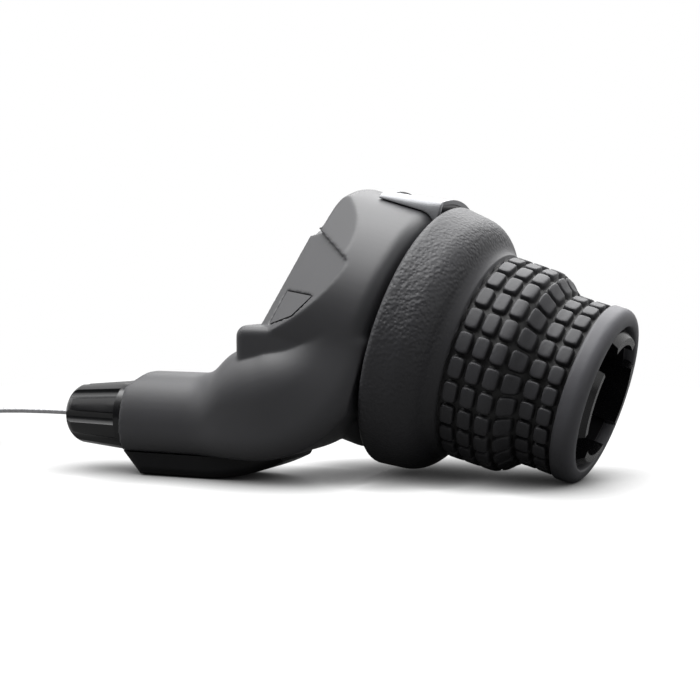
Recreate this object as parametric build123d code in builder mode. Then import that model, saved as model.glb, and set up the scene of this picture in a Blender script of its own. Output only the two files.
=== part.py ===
from build123d import *
import os
from math import atan2, cos, degrees, radians, sin, sqrt, tan

os.makedirs("parts", exist_ok=True)

# Twist grip shifter for a flat handlebar, in millimetres and degrees.
# X runs along the bar, outboard positive, Z is up and the cable arm lies on the -Y side.
# X = 0 is the seam between the fixed housing and the turning grip.

# Handlebar, fixed sleeve and fits
BAR_RADIUS = 11.1
BAR_CLEARANCE = 0.05
RUNNING_FIT = 0.05
END_PLAY = 0.1
SLIP_GAP = 0.2
SLEEVE_WALL = 1.35
SLEEVE_END = 40.6
COLLAR_WALL = 2.25
SLIT_WIDTH = 2.0

# Snap tabs at the outboard end of the sleeve
TAB_COUNT = 4
TAB_GAP_ANGLE = 30.0
TAB_GAP_DEPTH = 6.0
TAB_LIP = 0.95

# Cable and shifting
CABLE_DIAMETER = 1.2
GEARS = 7
GEAR_STEP = 10.0
PULL_PER_GEAR = 2.9
NIPPLE_DIAMETER = 4.0
NIPPLE_LENGTH = 4.0
WRAP_ANGLE = 110.0

# Rotor
ROTOR_WALL = 1.7
ROTOR_END = 38.2
DRUM_FLANGE = 1.6
DISC_LAP = 3.48
DISC_THICKNESS = 2.0
GROOVE_X = -5.5
GROOVE_WIDTH = 1.8
DETENT_RIM = 1.2
DETENT_WIDTH = 2.2
DETENT_ANGLE = -150.0
NOTCH_RADIUS = 0.95
LEAF_SETBACK = 0.9
LEAF_THICKNESS = 0.5

# Rubber grip
FLANGE_WALL = 3.5
BULB_ROUND = 1.2
FLARE_X = 6.0
FLARE_FALL = 0.7
NECK_X = 10.9
NECK_SHARE = 0.347
WAIST_WALL = 6.55
HUMP_FALL = 0.25
STEP_START = 22.7
STEP_END = 29.8
TAIL_WALL = 3.0
CUFF_RISE = 0.35
CUFF_START = 35.7
CUFF_ROUND = 2.0
GRIP_END = 39.9
MOUTH_FLARE = 0.25
BLOCKS_START = 13.6
BLOCK_COLUMNS = 6
BLOCK_ROWS = 26
RING_DEPTH = 1.15
SLOT_DEPTH = 1.05
BLOCK_GAP = 0.95

# Housing head
SEAM_GAP = 0.8
HEAD_WALL = 2.88
HEAD_ROUND = 3.9
HOUSING_END = -24.5
END_WALL = 1.5
CAP_END = -21.5
CAP_ROUND = 3.0
CAP_ANGLE = 53.0
CAP_SHAVE = 5.0
CAP_SLOPE = 0.5
CAVITY_FLOOR = -12.5
CAVITY_STEP = -7.0
LEAF_ROOM = 3.0
BULKHEAD = 2.5
FLANGE_PLATE = 2.0
PANEL_ANGLE = 58.2
PANEL_SLOPE = 0.6
PANEL_LENGTH = 20.0
PANEL_FROM = 38.5
PANEL_TO = 110.0
NOTCH_HEIGHT = 8.5
NOTCH_FALL = 0.55

# Cable port cover let into the inboard panel: its corners lie along and across the panel's slope
PORT_CORNERS = ((2.8, -15.2), (2.6, -7.6), (11.3, -8.7), (8.2, -13.2))
PORT_THICKNESS = 1.6

# Cable arm
EXIT_TILT = 16.7
BEND_RADIUS = 20.0
BEND_TOP = -4.6
ARM_LENGTH = 31.3
ARM_MOUTH = 0.5
ARM_WALL = 1.2
ARM_RISE = 0.6
ARM_BELOW = 6.6
ARM_FLANK = -1.7
ARM_END_CHAMFER = 3.0
ARM_FOOT_ROUND = 2.6
CROWN_ROUND = 8.2
CROWN_HEIGHT = 11.0
CHANNEL_RADIUS = 1.3
LEDGE_FRONT = 24.8
LEDGE_BACK = 12.0
LEDGE_START = 27.4
LEDGE_FLAT = 36.0
LEDGE_SWEEP = 9.1
LEDGE_HEIGHT = 19.8
LEDGE_CLIMB = 4.9
LEDGE_ROUND = 2.2
LEDGE_EDGE = 1.8

# Arm's root: distance along the cable, extra width on the viewer's side, extra height of the crown
ROOT_START = 15.0
ROOT_SECTIONS = (
    (ROOT_START, 0.0, 0.0),
    (15.8, 0.0, 0.0),
    (18.0, 0.1, 0.3),
    (20.6, 0.5, 1.5),
    (23.2, 1.15, 3.6),
    (26.0, 1.75, 5.2),
    (29.0, 2.2, 6.0),
    (33.0, 2.55, 6.3),
    (38.3, 2.6, 6.4),
    (45.3, 2.1, 6.1),
    (51.5, 1.1, 5.5),
    (56.9, 0.1, 4.9),
    (61.4, -0.2, 4.5),
)

# Arm cover
COVER_DEPTH = 4.7
COVER_NOSE = 0.4
COVER_NOSE_BACK = 3.9
COVER_FLAT_END = 18.0
COVER_TAIL = 37.0
COVER_WALL = 1.8
COVER_TAIL_DEPTH = 0.2
COVER_POST = 3.2
COVER_SCREW_SINK = 2.2
COVER_SCREW_HEAD_HEIGHT = 1.6
COVER_INSET = 1.6
COVER_ROUND = 2.0
COVER_SCREW_RADIUS = 1.1
COVER_SCREW_HEAD = 2.1
COVER_SCREW_PLACES = (11.0, 28.0)
COVER_SCREW_BITE = 3.2

# Barrel adjuster
KNOB_BASE_RADIUS = 7.3
KNOB_SHOULDER_RADIUS = 6.3
KNOB_TIP_RADIUS = 3.6
KNOB_LENGTH = 16.1
KNOB_RIM = 2.0
KNOB_SHOULDER = 13.4
KNOB_NOSE_ROUND = 3.6
KNOB_FLUTES = 8
KNOB_FLUTE_RADIUS = 1.7
KNOB_FLUTE_DEPTH = 0.75
KNOB_SKIRT_RADIUS = 6.0
KNOB_SKIRT = 3.0
KNOB_SEAT = 1.4
KNOB_HOLLOW_RADIUS = 5.0
KNOB_HOLLOW_END = 2.0
KNOB_WEB = 4.5
SOCKET_CLEARANCE = 0.4
SOCKET_DEPTH = 6.0
BOLT_RADIUS = 2.5
BOLT_LENGTH = 30.0
BOLT_BORE_RADIUS = 0.95
CASING_RADIUS = 2.6
SPRING_WIRE = 0.7
SPRING_TURNS = 4.5
SPRING_SIDES = 6

# Clamp band, bolt and nut
BAND_THICKNESS = 1.2
BAND_WIDTH = 7.8
BAND_ROOM = 0.55
EAR_LENGTH = 9.0
EAR_GAP = 2.4
CLAMP_BOLT_RADIUS = 2.5
CLAMP_HEAD_RADIUS = 4.25
CLAMP_HEAD_HEIGHT = 4.5
CLAMP_HEX = 4.0
CLAMP_HEX_DEPTH = 2.7
CLAMP_BOLT_PAST_NUT = 1.0
NUT_WIDTH = 8.0
NUT_HEIGHT = 3.5
WINDOW_HALF_HEIGHT = 9.0
KEY_HOLE_RADIUS = 3.2

# Gear indicator
INDICATOR_CENTRE = -26.0
POD_MARGIN = 8.0
LENS_MARGIN = 4.0
POD_INBOARD = -14.0
POD_RISE = 0.2
POD_CLIMB = 1.6
BEZEL_THICKNESS = 0.9
LENS_INBOARD = -12.2
LENS_OUTBOARD = -2.3
LENS_THICKNESS = 1.2
LENS_PROUD = 0.5
DIAL_OUTBOARD = -6.8
DIAL_THICKNESS = 0.6
DIAL_FLOOR = 1.6
POINTER_ANGLE = 4.0
POINTER_THICKNESS = 1.2
POINTER_STEM = 1.5

# Sleeve screws
SLEEVE_SCREWS = 3
SLEEVE_SCREW_RADIUS = 1.1
SLEEVE_SCREW_HEAD = 2.0
SLEEVE_SCREW_LENGTH = 6.0
SLEEVE_SCREW_SINK = 1.2

# How far a cut runs past the surface that it opens
OVERCUT = 1.0

# Free cable: a straight lead, then down to a coil on the table
TABLE_TILT = 17.2
COIL_MEAN_RADIUS = 12.0
COIL_BUNDLE = 7.8
COIL_SIDES = 12
TIE_WIDTH = 3.0
TIE_THICKNESS = 0.8
TIE_ROOM = 0.2
LEAD_LENGTH = 17.0
COIL_REACH = 58.0

# Worked-out sizes
bore_r = BAR_RADIUS + BAR_CLEARANCE
sleeve_r = bore_r + SLEEVE_WALL
collar_r = bore_r + COLLAR_WALL
rotor_bore_r = sleeve_r + RUNNING_FIT
rotor_r = rotor_bore_r + ROTOR_WALL
cable_r = CABLE_DIAMETER / 2
drum_r = PULL_PER_GEAR / radians(GEAR_STEP)
groove_floor_r = drum_r - cable_r - RUNNING_FIT
drum_rim_r = drum_r + DRUM_FLANGE
detent_r = drum_rim_r + DETENT_RIM
mouth_r = detent_r + 3 * SLIP_GAP
chamber_r = detent_r + LEAF_ROOM
flange_face = CAVITY_FLOOR + FLANGE_PLATE
rotor_start = flange_face + END_PLAY
bulkhead_x = CAVITY_FLOOR - BULKHEAD
band_r = collar_r + RUNNING_FIT
band_outer_r = band_r + BAND_THICKNESS
clamp_room_r = band_outer_r + BAND_ROOM
head_r = chamber_r + HEAD_WALL
housing_end_r = clamp_room_r + END_WALL
pod_low = head_r + POD_RISE
pod_high = pod_low + POD_CLIMB
disc_r = mouth_r + DISC_LAP
bulb_r = disc_r + FLANGE_WALL
waist_r = rotor_r + WAIST_WALL
hump_r = waist_r - HUMP_FALL
neck_r = waist_r + NECK_SHARE * (bulb_r - waist_r)
tail_r = rotor_r + TAIL_WALL
cuff_r = tail_r + CUFF_RISE
grip_mouth_r = rotor_r + MOUTH_FLARE
twist_range = (GEARS - 1) * GEAR_STEP

tilt = radians(EXIT_TILT)
bend_x = GROOVE_X - BEND_RADIUS
bend_turn = 90 - EXIT_TILT
arm_end_x = bend_x + BEND_RADIUS * sin(tilt) - ARM_LENGTH * cos(tilt)
arm_end_z = BEND_TOP - BEND_RADIUS * cos(tilt) - ARM_LENGTH * sin(tilt)
socket_r = KNOB_BASE_RADIUS + SOCKET_CLEARANCE
skirt_room_r = KNOB_SKIRT_RADIUS + SOCKET_CLEARANCE
arm_half = socket_r + ARM_WALL
arm_above = arm_half + ARM_RISE
ledge_end = LEDGE_FLAT + LEDGE_SWEEP

# Arm plane: local x runs from the arm's end towards the head, local y is up, local z is the viewer's side
arm_plane = Plane(origin=(arm_end_x, -drum_r, arm_end_z), x_dir=(cos(tilt), 0, sin(tilt)), z_dir=(0, -1, 0))
arm_axis = Axis(arm_plane.origin, arm_plane.x_dir)
bend_centre = (ARM_LENGTH, BEND_RADIUS)


def radial_plane(angle):
    """Plane through the bar axis: local x along the bar, local y outwards at an angle from the top
    towards the arm's side."""
    a = radians(angle)
    return Plane(origin=(0, 0, 0), x_dir=(1, 0, 0), z_dir=(0, -cos(a), -sin(a)))


def on_circle(radius, angle):
    """Y and Z of a point at an angle from the top towards the arm's side."""
    a = radians(angle)
    return -radius * sin(a), radius * cos(a)


def arm_spot(a, n):
    """Location on the arm's middle plane with its z pointing down, out of the arm."""
    return arm_plane.location * Location((a, n, 0), (90, 0, 0))


def arm_station(along):
    """Plane across the arm at a distance along the cable: local x towards the bar, local y up the crown."""
    turn = min(max(0, along - ARM_LENGTH) / BEND_RADIUS, radians(bend_turn))
    run = along - BEND_RADIUS * turn
    if turn < radians(bend_turn):
        run = min(run, ARM_LENGTH)
    past = max(0, run - ARM_LENGTH)
    a = min(run, ARM_LENGTH) + BEND_RADIUS * sin(turn) + past * cos(turn)
    n = BEND_RADIUS * (1 - cos(turn)) + past * sin(turn)
    heading = arm_plane.x_dir * cos(turn) + arm_plane.y_dir * sin(turn)
    return Plane(origin=arm_plane.from_local_coords((a, n, 0)), x_dir=(0, 1, 0), z_dir=heading)


def arm_outline(near, above):
    """Outline across the arm: flat foot, round lower flanks, upright flanks and an oval crown. Only the
    viewer's side changes its width."""
    crown_foot = above - CROWN_HEIGHT
    foot_rise = ARM_BELOW + ARM_FLANK
    Line((ARM_FOOT_ROUND - near, -ARM_BELOW), (arm_half - ARM_FOOT_ROUND, -ARM_BELOW))
    EllipticalCenterArc((arm_half - ARM_FOOT_ROUND, ARM_FLANK), ARM_FOOT_ROUND, foot_rise, 270, arc_size=90)
    Line((arm_half, ARM_FLANK), (arm_half, crown_foot))
    EllipticalCenterArc((arm_half - CROWN_ROUND, crown_foot), CROWN_ROUND, CROWN_HEIGHT, 0, arc_size=90)
    Line((arm_half - CROWN_ROUND, above), (CROWN_ROUND - near, above))
    EllipticalCenterArc((CROWN_ROUND - near, crown_foot), CROWN_ROUND, CROWN_HEIGHT, 90, arc_size=90)
    Line((-near, crown_foot), (-near, ARM_FLANK))
    EllipticalCenterArc((ARM_FOOT_ROUND - near, ARM_FLANK), ARM_FOOT_ROUND, foot_rise, 180, arc_size=90)


def sloping_plane(x, radius, angle, slope):
    """Plane at a radius and an angle round the bar, rising along the bar: local x up the slope, local y
    across it towards the top, local z outwards."""
    y, z = on_circle(1, angle)
    return Plane(origin=(x, radius * y, radius * z), x_dir=(1, slope * y, slope * z), z_dir=(-slope, y, z))


def pod_r(x):
    """Radius of the raised indicator seat, which climbs towards the seam."""
    return pod_low + (pod_high - pod_low) * (x - POD_INBOARD) / (-SEAM_GAP - POD_INBOARD)


def grip_line(drop):
    """Outline of the block field from the waist to the cuff, lowered by a drop: a slow cone, two equal
    arcs down to the tail, and a plain cylinder."""
    middle = ((STEP_START + STEP_END) / 2, (hump_r + tail_r) / 2 - drop)
    hump = (STEP_START, hump_r - drop)
    tail_start = (STEP_END, tail_r - drop)
    half_run = (STEP_END - STEP_START) / 2
    half_fall = (hump_r - tail_r) / 2
    step_r = (half_run ** 2 + half_fall ** 2) / (2 * half_fall)
    Line((BLOCKS_START, waist_r - drop), hump)
    RadiusArc(hump, middle, step_r)
    RadiusArc(middle, tail_start, -step_r)
    Line(tail_start, (CUFF_START, tail_r - drop))


def groove_region(depth):
    """Outline of everything above the floor of grooves of one depth, along the whole block field."""
    grip_line(depth)
    Polyline(
        (CUFF_START, tail_r - depth),
        (CUFF_START, bulb_r),
        (BLOCKS_START, bulb_r),
        (BLOCKS_START, waist_r - depth),
    )


dial_r = chamber_r + DIAL_FLOOR
bolt_tip = KNOB_HOLLOW_END + KNOB_WEB
bolt_inner = BOLT_LENGTH - bolt_tip
screw_tip_n = -ARM_BELOW + COVER_SCREW_BITE
clamp_x = (HOUSING_END + bulkhead_x) / 2
ear_bolt_y = band_outer_r + EAR_LENGTH / 2
sleeve_screw_r = (collar_r + chamber_r) / 2
sleeve_screw_places = [
    (CAVITY_FLOOR, *on_circle(sleeve_screw_r, 60 + k * 360 / SLEEVE_SCREWS)) for k in range(SLEEVE_SCREWS)
]

# Arm's root: sections lofted along the cable's bend, from the plain arm up into the head
with BuildPart() as arm_root:
    for along, wider, taller in ROOT_SECTIONS:
        with BuildSketch(arm_station(along)):
            with BuildLine():
                arm_outline(arm_half + wider, arm_above + taller)
            make_face()
    loft()

# Arm: the plain run from the adjuster's mouth, with its root
with BuildPart() as arm_band:
    with BuildSketch(arm_station(ARM_MOUTH)):
        with BuildLine():
            arm_outline(arm_half, arm_above)
        make_face()
    extrude(amount=ROOT_START - ARM_MOUTH)
    add(arm_root.part)

# Adjuster socket at the arm's end, with the threaded hole behind it
with BuildPart() as socket:
    with BuildSketch(arm_plane):
        with BuildLine():
            Polyline(
                (-OVERCUT, 0),
                (-OVERCUT, socket_r),
                (KNOB_SEAT + SLIP_GAP, socket_r),
                (KNOB_SEAT + SLIP_GAP, skirt_room_r),
                (SOCKET_DEPTH, skirt_room_r),
                (SOCKET_DEPTH, BOLT_RADIUS + RUNNING_FIT),
                (bolt_inner + OVERCUT, BOLT_RADIUS + RUNNING_FIT),
                (bolt_inner + OVERCUT, 0),
                close=True,
            )
        make_face()
    revolve(axis=arm_axis)

# Ledge: the block behind the arm's root, whose top sweeps up into the head
with BuildPart() as ledge:
    with BuildSketch(arm_plane.offset(-drum_r + LEDGE_BACK)):
        with BuildLine():
            Polyline((ledge_end, 0), (LEDGE_START, 0), (LEDGE_START, LEDGE_HEIGHT),
                     (LEDGE_FLAT, LEDGE_HEIGHT))
            climb = (ledge_end, LEDGE_HEIGHT + LEDGE_CLIMB)
            TangentArc((LEDGE_FLAT, LEDGE_HEIGHT), climb, tangent=(1, 0))
            Line(climb, (ledge_end, 0))
        make_face()
        fillet(vertices().sort_by(Axis.X)[:2].sort_by(Axis.Y)[-1], LEDGE_ROUND)
    extrude(amount=LEDGE_FRONT - LEDGE_BACK)
    front = faces().sort_by(Axis.Y)[0]
    middles = [(e, arm_plane.to_local_coords(e @ 0.5)) for e in front.edges()]
    fillet([e for e, m in middles if m.Y > SLIP_GAP and m.X < ledge_end - SLIP_GAP], LEDGE_EDGE)

# Cap: the sloping flat above the notch
past_end = HOUSING_END - OVERCUT
with BuildPart() as cap_cut:
    with BuildSketch(sloping_plane(CAP_END, head_r - CAP_SHAVE, CAP_ANGLE, CAP_SLOPE)):
        Rectangle(4 * head_r, 4 * head_r)
    extrude(amount=head_r)

# Panel: the deeper flat below the notch, on the arm's side
panel_plane = sloping_plane(HOUSING_END, housing_end_r, PANEL_ANGLE, PANEL_SLOPE)
with BuildPart() as panel_cut:
    with BuildSketch(panel_plane):
        with BuildLine():
            Polyline(
                (-2 * OVERCUT, NOTCH_HEIGHT + 2 * OVERCUT * NOTCH_FALL),
                (PANEL_LENGTH, NOTCH_HEIGHT - PANEL_LENGTH * NOTCH_FALL),
                (PANEL_LENGTH, -2 * head_r),
                (-2 * OVERCUT, -2 * head_r),
                close=True,
            )
        make_face()
    extrude(amount=head_r)


def port_plate(gap):
    """Flat plate of the cable port in the panel, larger all round by a gap."""
    with BuildPart() as plate:
        with BuildSketch(panel_plane):
            with BuildLine():
                Polyline(*PORT_CORNERS, close=True)
            make_face()
            if gap:
                offset(amount=gap)
        extrude(amount=-PORT_THICKNESS)
    return plate.part


# Housing: moulded head, shoulder, indicator seat, ledge and arm in one piece
with BuildPart() as housing:
    with BuildSketch(Plane.XZ):
        with BuildLine():
            seam_edge = (-SEAM_GAP, head_r - HEAD_ROUND)
            Polyline((HOUSING_END, 0), (-SEAM_GAP, 0), seam_edge)
            RadiusArc(seam_edge, (-SEAM_GAP - HEAD_ROUND, head_r), -HEAD_ROUND)
            Line((-SEAM_GAP - HEAD_ROUND, head_r), (CAP_END + CAP_ROUND, head_r))
            RadiusArc((CAP_END + CAP_ROUND, head_r), (CAP_END, head_r - CAP_ROUND), -CAP_ROUND)
            Polyline((CAP_END, head_r - CAP_ROUND), (CAP_END, housing_end_r), (HOUSING_END, housing_end_r),
                     (HOUSING_END, 0))
        make_face()
    revolve(axis=Axis.X)
    # the panel's side runs on to the housing's end
    with BuildSketch(radial_plane(PANEL_FROM)):
        with Locations((HOUSING_END, clamp_room_r)):
            Rectangle(CAP_END + CAP_ROUND - HOUSING_END, head_r - clamp_room_r, align=(Align.MIN, Align.MIN))
    revolve(axis=Axis.X, revolution_arc=PANEL_TO - PANEL_FROM)
    add(cap_cut.part, mode=Mode.SUBTRACT)
    add(panel_cut.part, mode=Mode.SUBTRACT)
    # indicator seat, rising towards the seam
    with BuildSketch(radial_plane(INDICATOR_CENTRE - twist_range / 2 - POD_MARGIN)):
        with BuildLine():
            Polyline(
                (POD_INBOARD, mouth_r),
                (-SEAM_GAP, mouth_r),
                (-SEAM_GAP, pod_high),
                (POD_INBOARD, pod_low),
                close=True,
            )
        make_face()
    revolve(axis=Axis.X, revolution_arc=twist_range + 2 * POD_MARGIN)
    add(arm_band.part)
    add(ledge.part)
    # everything outboard of the seam face goes
    with BuildSketch(Plane.YZ.offset(-SEAM_GAP)):
        Circle(2 * head_r)
    extrude(amount=2 * head_r, mode=Mode.SUBTRACT)
    # rotor chamber, sleeve bore and clamp room
    with BuildSketch(Plane.XZ):
        with BuildLine():
            Polyline(
                (past_end, 0),
                (past_end, clamp_room_r),
                (bulkhead_x, clamp_room_r),
                (bulkhead_x, band_r),
                (CAVITY_FLOOR, band_r),
                (CAVITY_FLOOR, chamber_r),
                (CAVITY_STEP, chamber_r),
                (CAVITY_STEP, mouth_r),
                (0, mouth_r),
                (0, 0),
                close=True,
            )
        make_face()
    revolve(axis=Axis.X, mode=Mode.SUBTRACT)
    # indicator window: a slot for the pointer and a shallow seat for the dial
    with BuildSketch(radial_plane(INDICATOR_CENTRE - twist_range / 2 - LENS_MARGIN)):
        with BuildLine():
            Polyline(
                (LENS_INBOARD, dial_r),
                (DIAL_OUTBOARD, dial_r),
                (DIAL_OUTBOARD, mouth_r - OVERCUT),
                (LENS_OUTBOARD, mouth_r - OVERCUT),
                (LENS_OUTBOARD, pod_high + OVERCUT),
                (LENS_INBOARD, pod_high + OVERCUT),
                close=True,
            )
        make_face()
    revolve(axis=Axis.X, revolution_arc=twist_range + 2 * LENS_MARGIN, mode=Mode.SUBTRACT)
    # cable channel along the arm, and the adjuster's socket
    with BuildLine(arm_plane) as channel_path:
        channel_run = Line((SOCKET_DEPTH, 0), (ARM_LENGTH, 0))
        channel_bend = CenterArc(bend_centre, BEND_RADIUS, -90, bend_turn)
    with BuildSketch(Plane(origin=channel_run @ 0, z_dir=channel_run % 0)):
        Circle(CHANNEL_RADIUS)
    sweep(path=channel_path.wires()[0], mode=Mode.SUBTRACT)
    add(socket.part, mode=Mode.SUBTRACT)
    # the arm's end is cut back at its top
    with BuildSketch(arm_plane):
        with BuildLine():
            Polyline(
                (ARM_MOUTH, arm_above - ARM_END_CHAMFER),
                (ARM_MOUTH + ARM_END_CHAMFER, arm_above),
                (ARM_MOUTH, arm_above),
                close=True,
            )
        make_face()
    extrude(amount=arm_half, both=True, mode=Mode.SUBTRACT)
    # screw holes for the arm cover
    with Locations(*[arm_spot(a, screw_tip_n) for a in COVER_SCREW_PLACES]):
        Cylinder(COVER_SCREW_RADIUS, COVER_SCREW_BITE + OVERCUT, mode=Mode.SUBTRACT,
                 align=(Align.CENTER, Align.CENTER, Align.MIN))
    # port seat
    add(port_plate(SLIP_GAP), mode=Mode.SUBTRACT)
    # clamp window at the back, open to the inboard end, and the key hole below it
    with Locations((bulkhead_x, 0, 0)):
        Box(2 * (bulkhead_x - HOUSING_END), 2 * head_r, 2 * WINDOW_HALF_HEIGHT, mode=Mode.SUBTRACT,
            align=(Align.MAX, Align.MIN, Align.CENTER))
    with Locations((clamp_x, ear_bolt_y, 0)):
        Cylinder(KEY_HOLE_RADIUS, head_r, mode=Mode.SUBTRACT,
                 align=(Align.CENTER, Align.CENTER, Align.MAX))
    # pilot holes for the sleeve screws
    with Locations(*sleeve_screw_places):
        Cylinder(SLEEVE_SCREW_RADIUS, SLEEVE_SCREW_LENGTH - FLANGE_PLATE + END_PLAY, rotation=(0, -90, 0),
                 align=(Align.CENTER, Align.CENTER, Align.MIN), mode=Mode.SUBTRACT)
housing.part.label = "housing"
export_step(housing.part, "parts/housing.step")

# Port cover: snap-in plate over the cable's entry
with BuildPart() as port_cover:
    add(port_plate(0))
port_cover.part.label = "port_cover"
export_step(port_cover.part, "parts/port_cover.step")

# Arm cover: black lower shell that closes the arm, with a slanted nose and a rising tail
cover_top = -ARM_BELOW
cover_floor = -ARM_BELOW - COVER_DEPTH
cover_half = arm_half - COVER_INSET
tail_rise = COVER_DEPTH - COVER_TAIL_DEPTH
tail_arc_r = ((COVER_TAIL - COVER_FLAT_END) ** 2 + tail_rise ** 2) / (2 * tail_rise)
band_under_r = BEND_RADIUS + ARM_BELOW
tail_top = BEND_RADIUS - sqrt(band_under_r ** 2 - (COVER_TAIL - ARM_LENGTH) ** 2)


def cover_bottom(a):
    """Height of the cover's underside at a place along the arm."""
    past = max(0, a - COVER_FLAT_END)
    return cover_floor + tail_arc_r - sqrt(tail_arc_r ** 2 - past ** 2)


with BuildPart() as arm_cover:
    with BuildSketch(arm_plane):
        with BuildLine():
            tail = (COVER_TAIL, tail_top)
            Polyline(
                (COVER_NOSE_BACK, cover_floor),
                (-COVER_NOSE, cover_top),
                (ARM_LENGTH, cover_top),
            )
            RadiusArc((ARM_LENGTH, cover_top), tail, -band_under_r)
            Line(tail, (COVER_TAIL, cover_top - COVER_TAIL_DEPTH))
            RadiusArc((COVER_TAIL, cover_top - COVER_TAIL_DEPTH), (COVER_FLAT_END, cover_floor), tail_arc_r)
            Line((COVER_FLAT_END, cover_floor), (COVER_NOSE_BACK, cover_floor))
        make_face()
    extrude(amount=cover_half, both=True)
    lower_edges = [
        e
        for face in (faces().sort_by(Axis.Y)[0], faces().sort_by(Axis.Y)[-1])
        for e in face.edges()
        if arm_plane.to_local_coords(e.center()).Y < cover_top - COVER_WALL / 2
    ]
    fillet(lower_edges, COVER_ROUND)
    add(socket.part, mode=Mode.SUBTRACT)
    # pockets between the screw posts
    pocket_starts = [COVER_NOSE_BACK] + [a + COVER_POST for a in COVER_SCREW_PLACES[:-1]]
    for left, post in zip(pocket_starts, COVER_SCREW_PLACES):
        right = post - COVER_POST
        depth = cover_top - cover_bottom(right) - COVER_WALL
        with Locations(arm_spot((left + right) / 2, cover_top)):
            Box(right - left, 2 * (cover_half - COVER_WALL), depth, mode=Mode.SUBTRACT,
                align=(Align.CENTER, Align.CENTER, Align.MIN))
    for a in COVER_SCREW_PLACES:
        with Locations(arm_spot(a, cover_top + OVERCUT)):
            Cylinder(COVER_SCREW_RADIUS + SLIP_GAP / 2, COVER_DEPTH + 2 * OVERCUT, mode=Mode.SUBTRACT,
                     align=(Align.CENTER, Align.CENTER, Align.MIN))
        with Locations(arm_spot(a, cover_bottom(a) + COVER_SCREW_SINK)):
            Cylinder(COVER_SCREW_HEAD + SLIP_GAP / 2, COVER_DEPTH, mode=Mode.SUBTRACT,
                     align=(Align.CENTER, Align.CENTER, Align.MIN))
arm_cover.part.label = "arm_cover"
export_step(arm_cover.part, "parts/arm_cover.step")

# Cover screws: two pan-head screws from below
with BuildPart() as cover_screws:
    for a in COVER_SCREW_PLACES:
        with Locations(arm_spot(a, screw_tip_n)):
            Cylinder(COVER_SCREW_RADIUS, screw_tip_n - cover_bottom(a) - COVER_SCREW_SINK,
                     align=(Align.CENTER, Align.CENTER, Align.MIN))
        with Locations(arm_spot(a, cover_bottom(a) + COVER_SCREW_SINK)):
            Cylinder(COVER_SCREW_HEAD, COVER_SCREW_HEAD_HEIGHT, align=(Align.CENTER, Align.CENTER, Align.MIN))
cover_screws.part.label = "cover_screws"
export_step(cover_screws.part, "parts/cover_screws.step")

# Bar sleeve: fixed tube with a split clamping collar, a fixing flange and snap tabs at its end
flange_r = chamber_r - SLIP_GAP
sleeve_start = HOUSING_END + SLIP_GAP
lip_x = ROTOR_END + END_PLAY / 2
with BuildPart() as bar_sleeve:
    with BuildSketch(Plane.XZ):
        with BuildLine():
            Polyline(
                (sleeve_start, bore_r),
                (sleeve_start, collar_r),
                (CAVITY_FLOOR, collar_r),
                (CAVITY_FLOOR, flange_r),
                (flange_face, flange_r),
                (flange_face, sleeve_r),
                (lip_x, sleeve_r),
                (lip_x, sleeve_r + TAB_LIP),
                (lip_x + TAB_LIP, sleeve_r + TAB_LIP),
                (SLEEVE_END, sleeve_r),
                (SLEEVE_END, bore_r),
                close=True,
            )
        make_face()
    revolve(axis=Axis.X)
    with Locations((bulkhead_x, 0, 0)):
        Box(-HOUSING_END, 2 * collar_r, SLIT_WIDTH, mode=Mode.SUBTRACT,
            align=(Align.MAX, Align.MIN, Align.CENTER))
    for k in range(TAB_COUNT):
        middle = (k + 0.5) * 360 / TAB_COUNT
        with BuildSketch(radial_plane(middle - TAB_GAP_ANGLE / 2)):
            with Locations((SLEEVE_END - TAB_GAP_DEPTH, bore_r - OVERCUT)):
                Rectangle(TAB_GAP_DEPTH + OVERCUT, SLEEVE_WALL + TAB_LIP + 2 * OVERCUT,
                          align=(Align.MIN, Align.MIN))
        revolve(axis=Axis.X, revolution_arc=TAB_GAP_ANGLE, mode=Mode.SUBTRACT)
    with Locations(*sleeve_screw_places):
        Cylinder(SLEEVE_SCREW_RADIUS + SLIP_GAP / 2, FLANGE_PLATE, rotation=(0, 90, 0),
                 align=(Align.CENTER, Align.CENTER, Align.MIN), mode=Mode.SUBTRACT)
    with Locations(*[(flange_face, y, z) for _, y, z in sleeve_screw_places]):
        Cylinder(SLEEVE_SCREW_HEAD + SLIP_GAP / 2, SLEEVE_SCREW_SINK, rotation=(0, -90, 0),
                 align=(Align.CENTER, Align.CENTER, Align.MIN), mode=Mode.SUBTRACT)
bar_sleeve.part.label = "bar_sleeve"
export_step(bar_sleeve.part, "parts/bar_sleeve.step")

# Sleeve screws: hold the sleeve's flange to the housing, heads sunk flush
with BuildPart() as sleeve_screws:
    head_seat = flange_face - SLEEVE_SCREW_SINK
    with Locations(*[(head_seat, y, z) for _, y, z in sleeve_screw_places]):
        Cylinder(SLEEVE_SCREW_RADIUS, SLEEVE_SCREW_LENGTH - SLEEVE_SCREW_SINK, rotation=(0, -90, 0),
                 align=(Align.CENTER, Align.CENTER, Align.MIN))
        Cylinder(SLEEVE_SCREW_HEAD, SLEEVE_SCREW_SINK - END_PLAY, rotation=(0, 90, 0),
                 align=(Align.CENTER, Align.CENTER, Align.MIN))
sleeve_screws.part.label = "sleeve_screws"
export_step(sleeve_screws.part, "parts/sleeve_screws.step")

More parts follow.
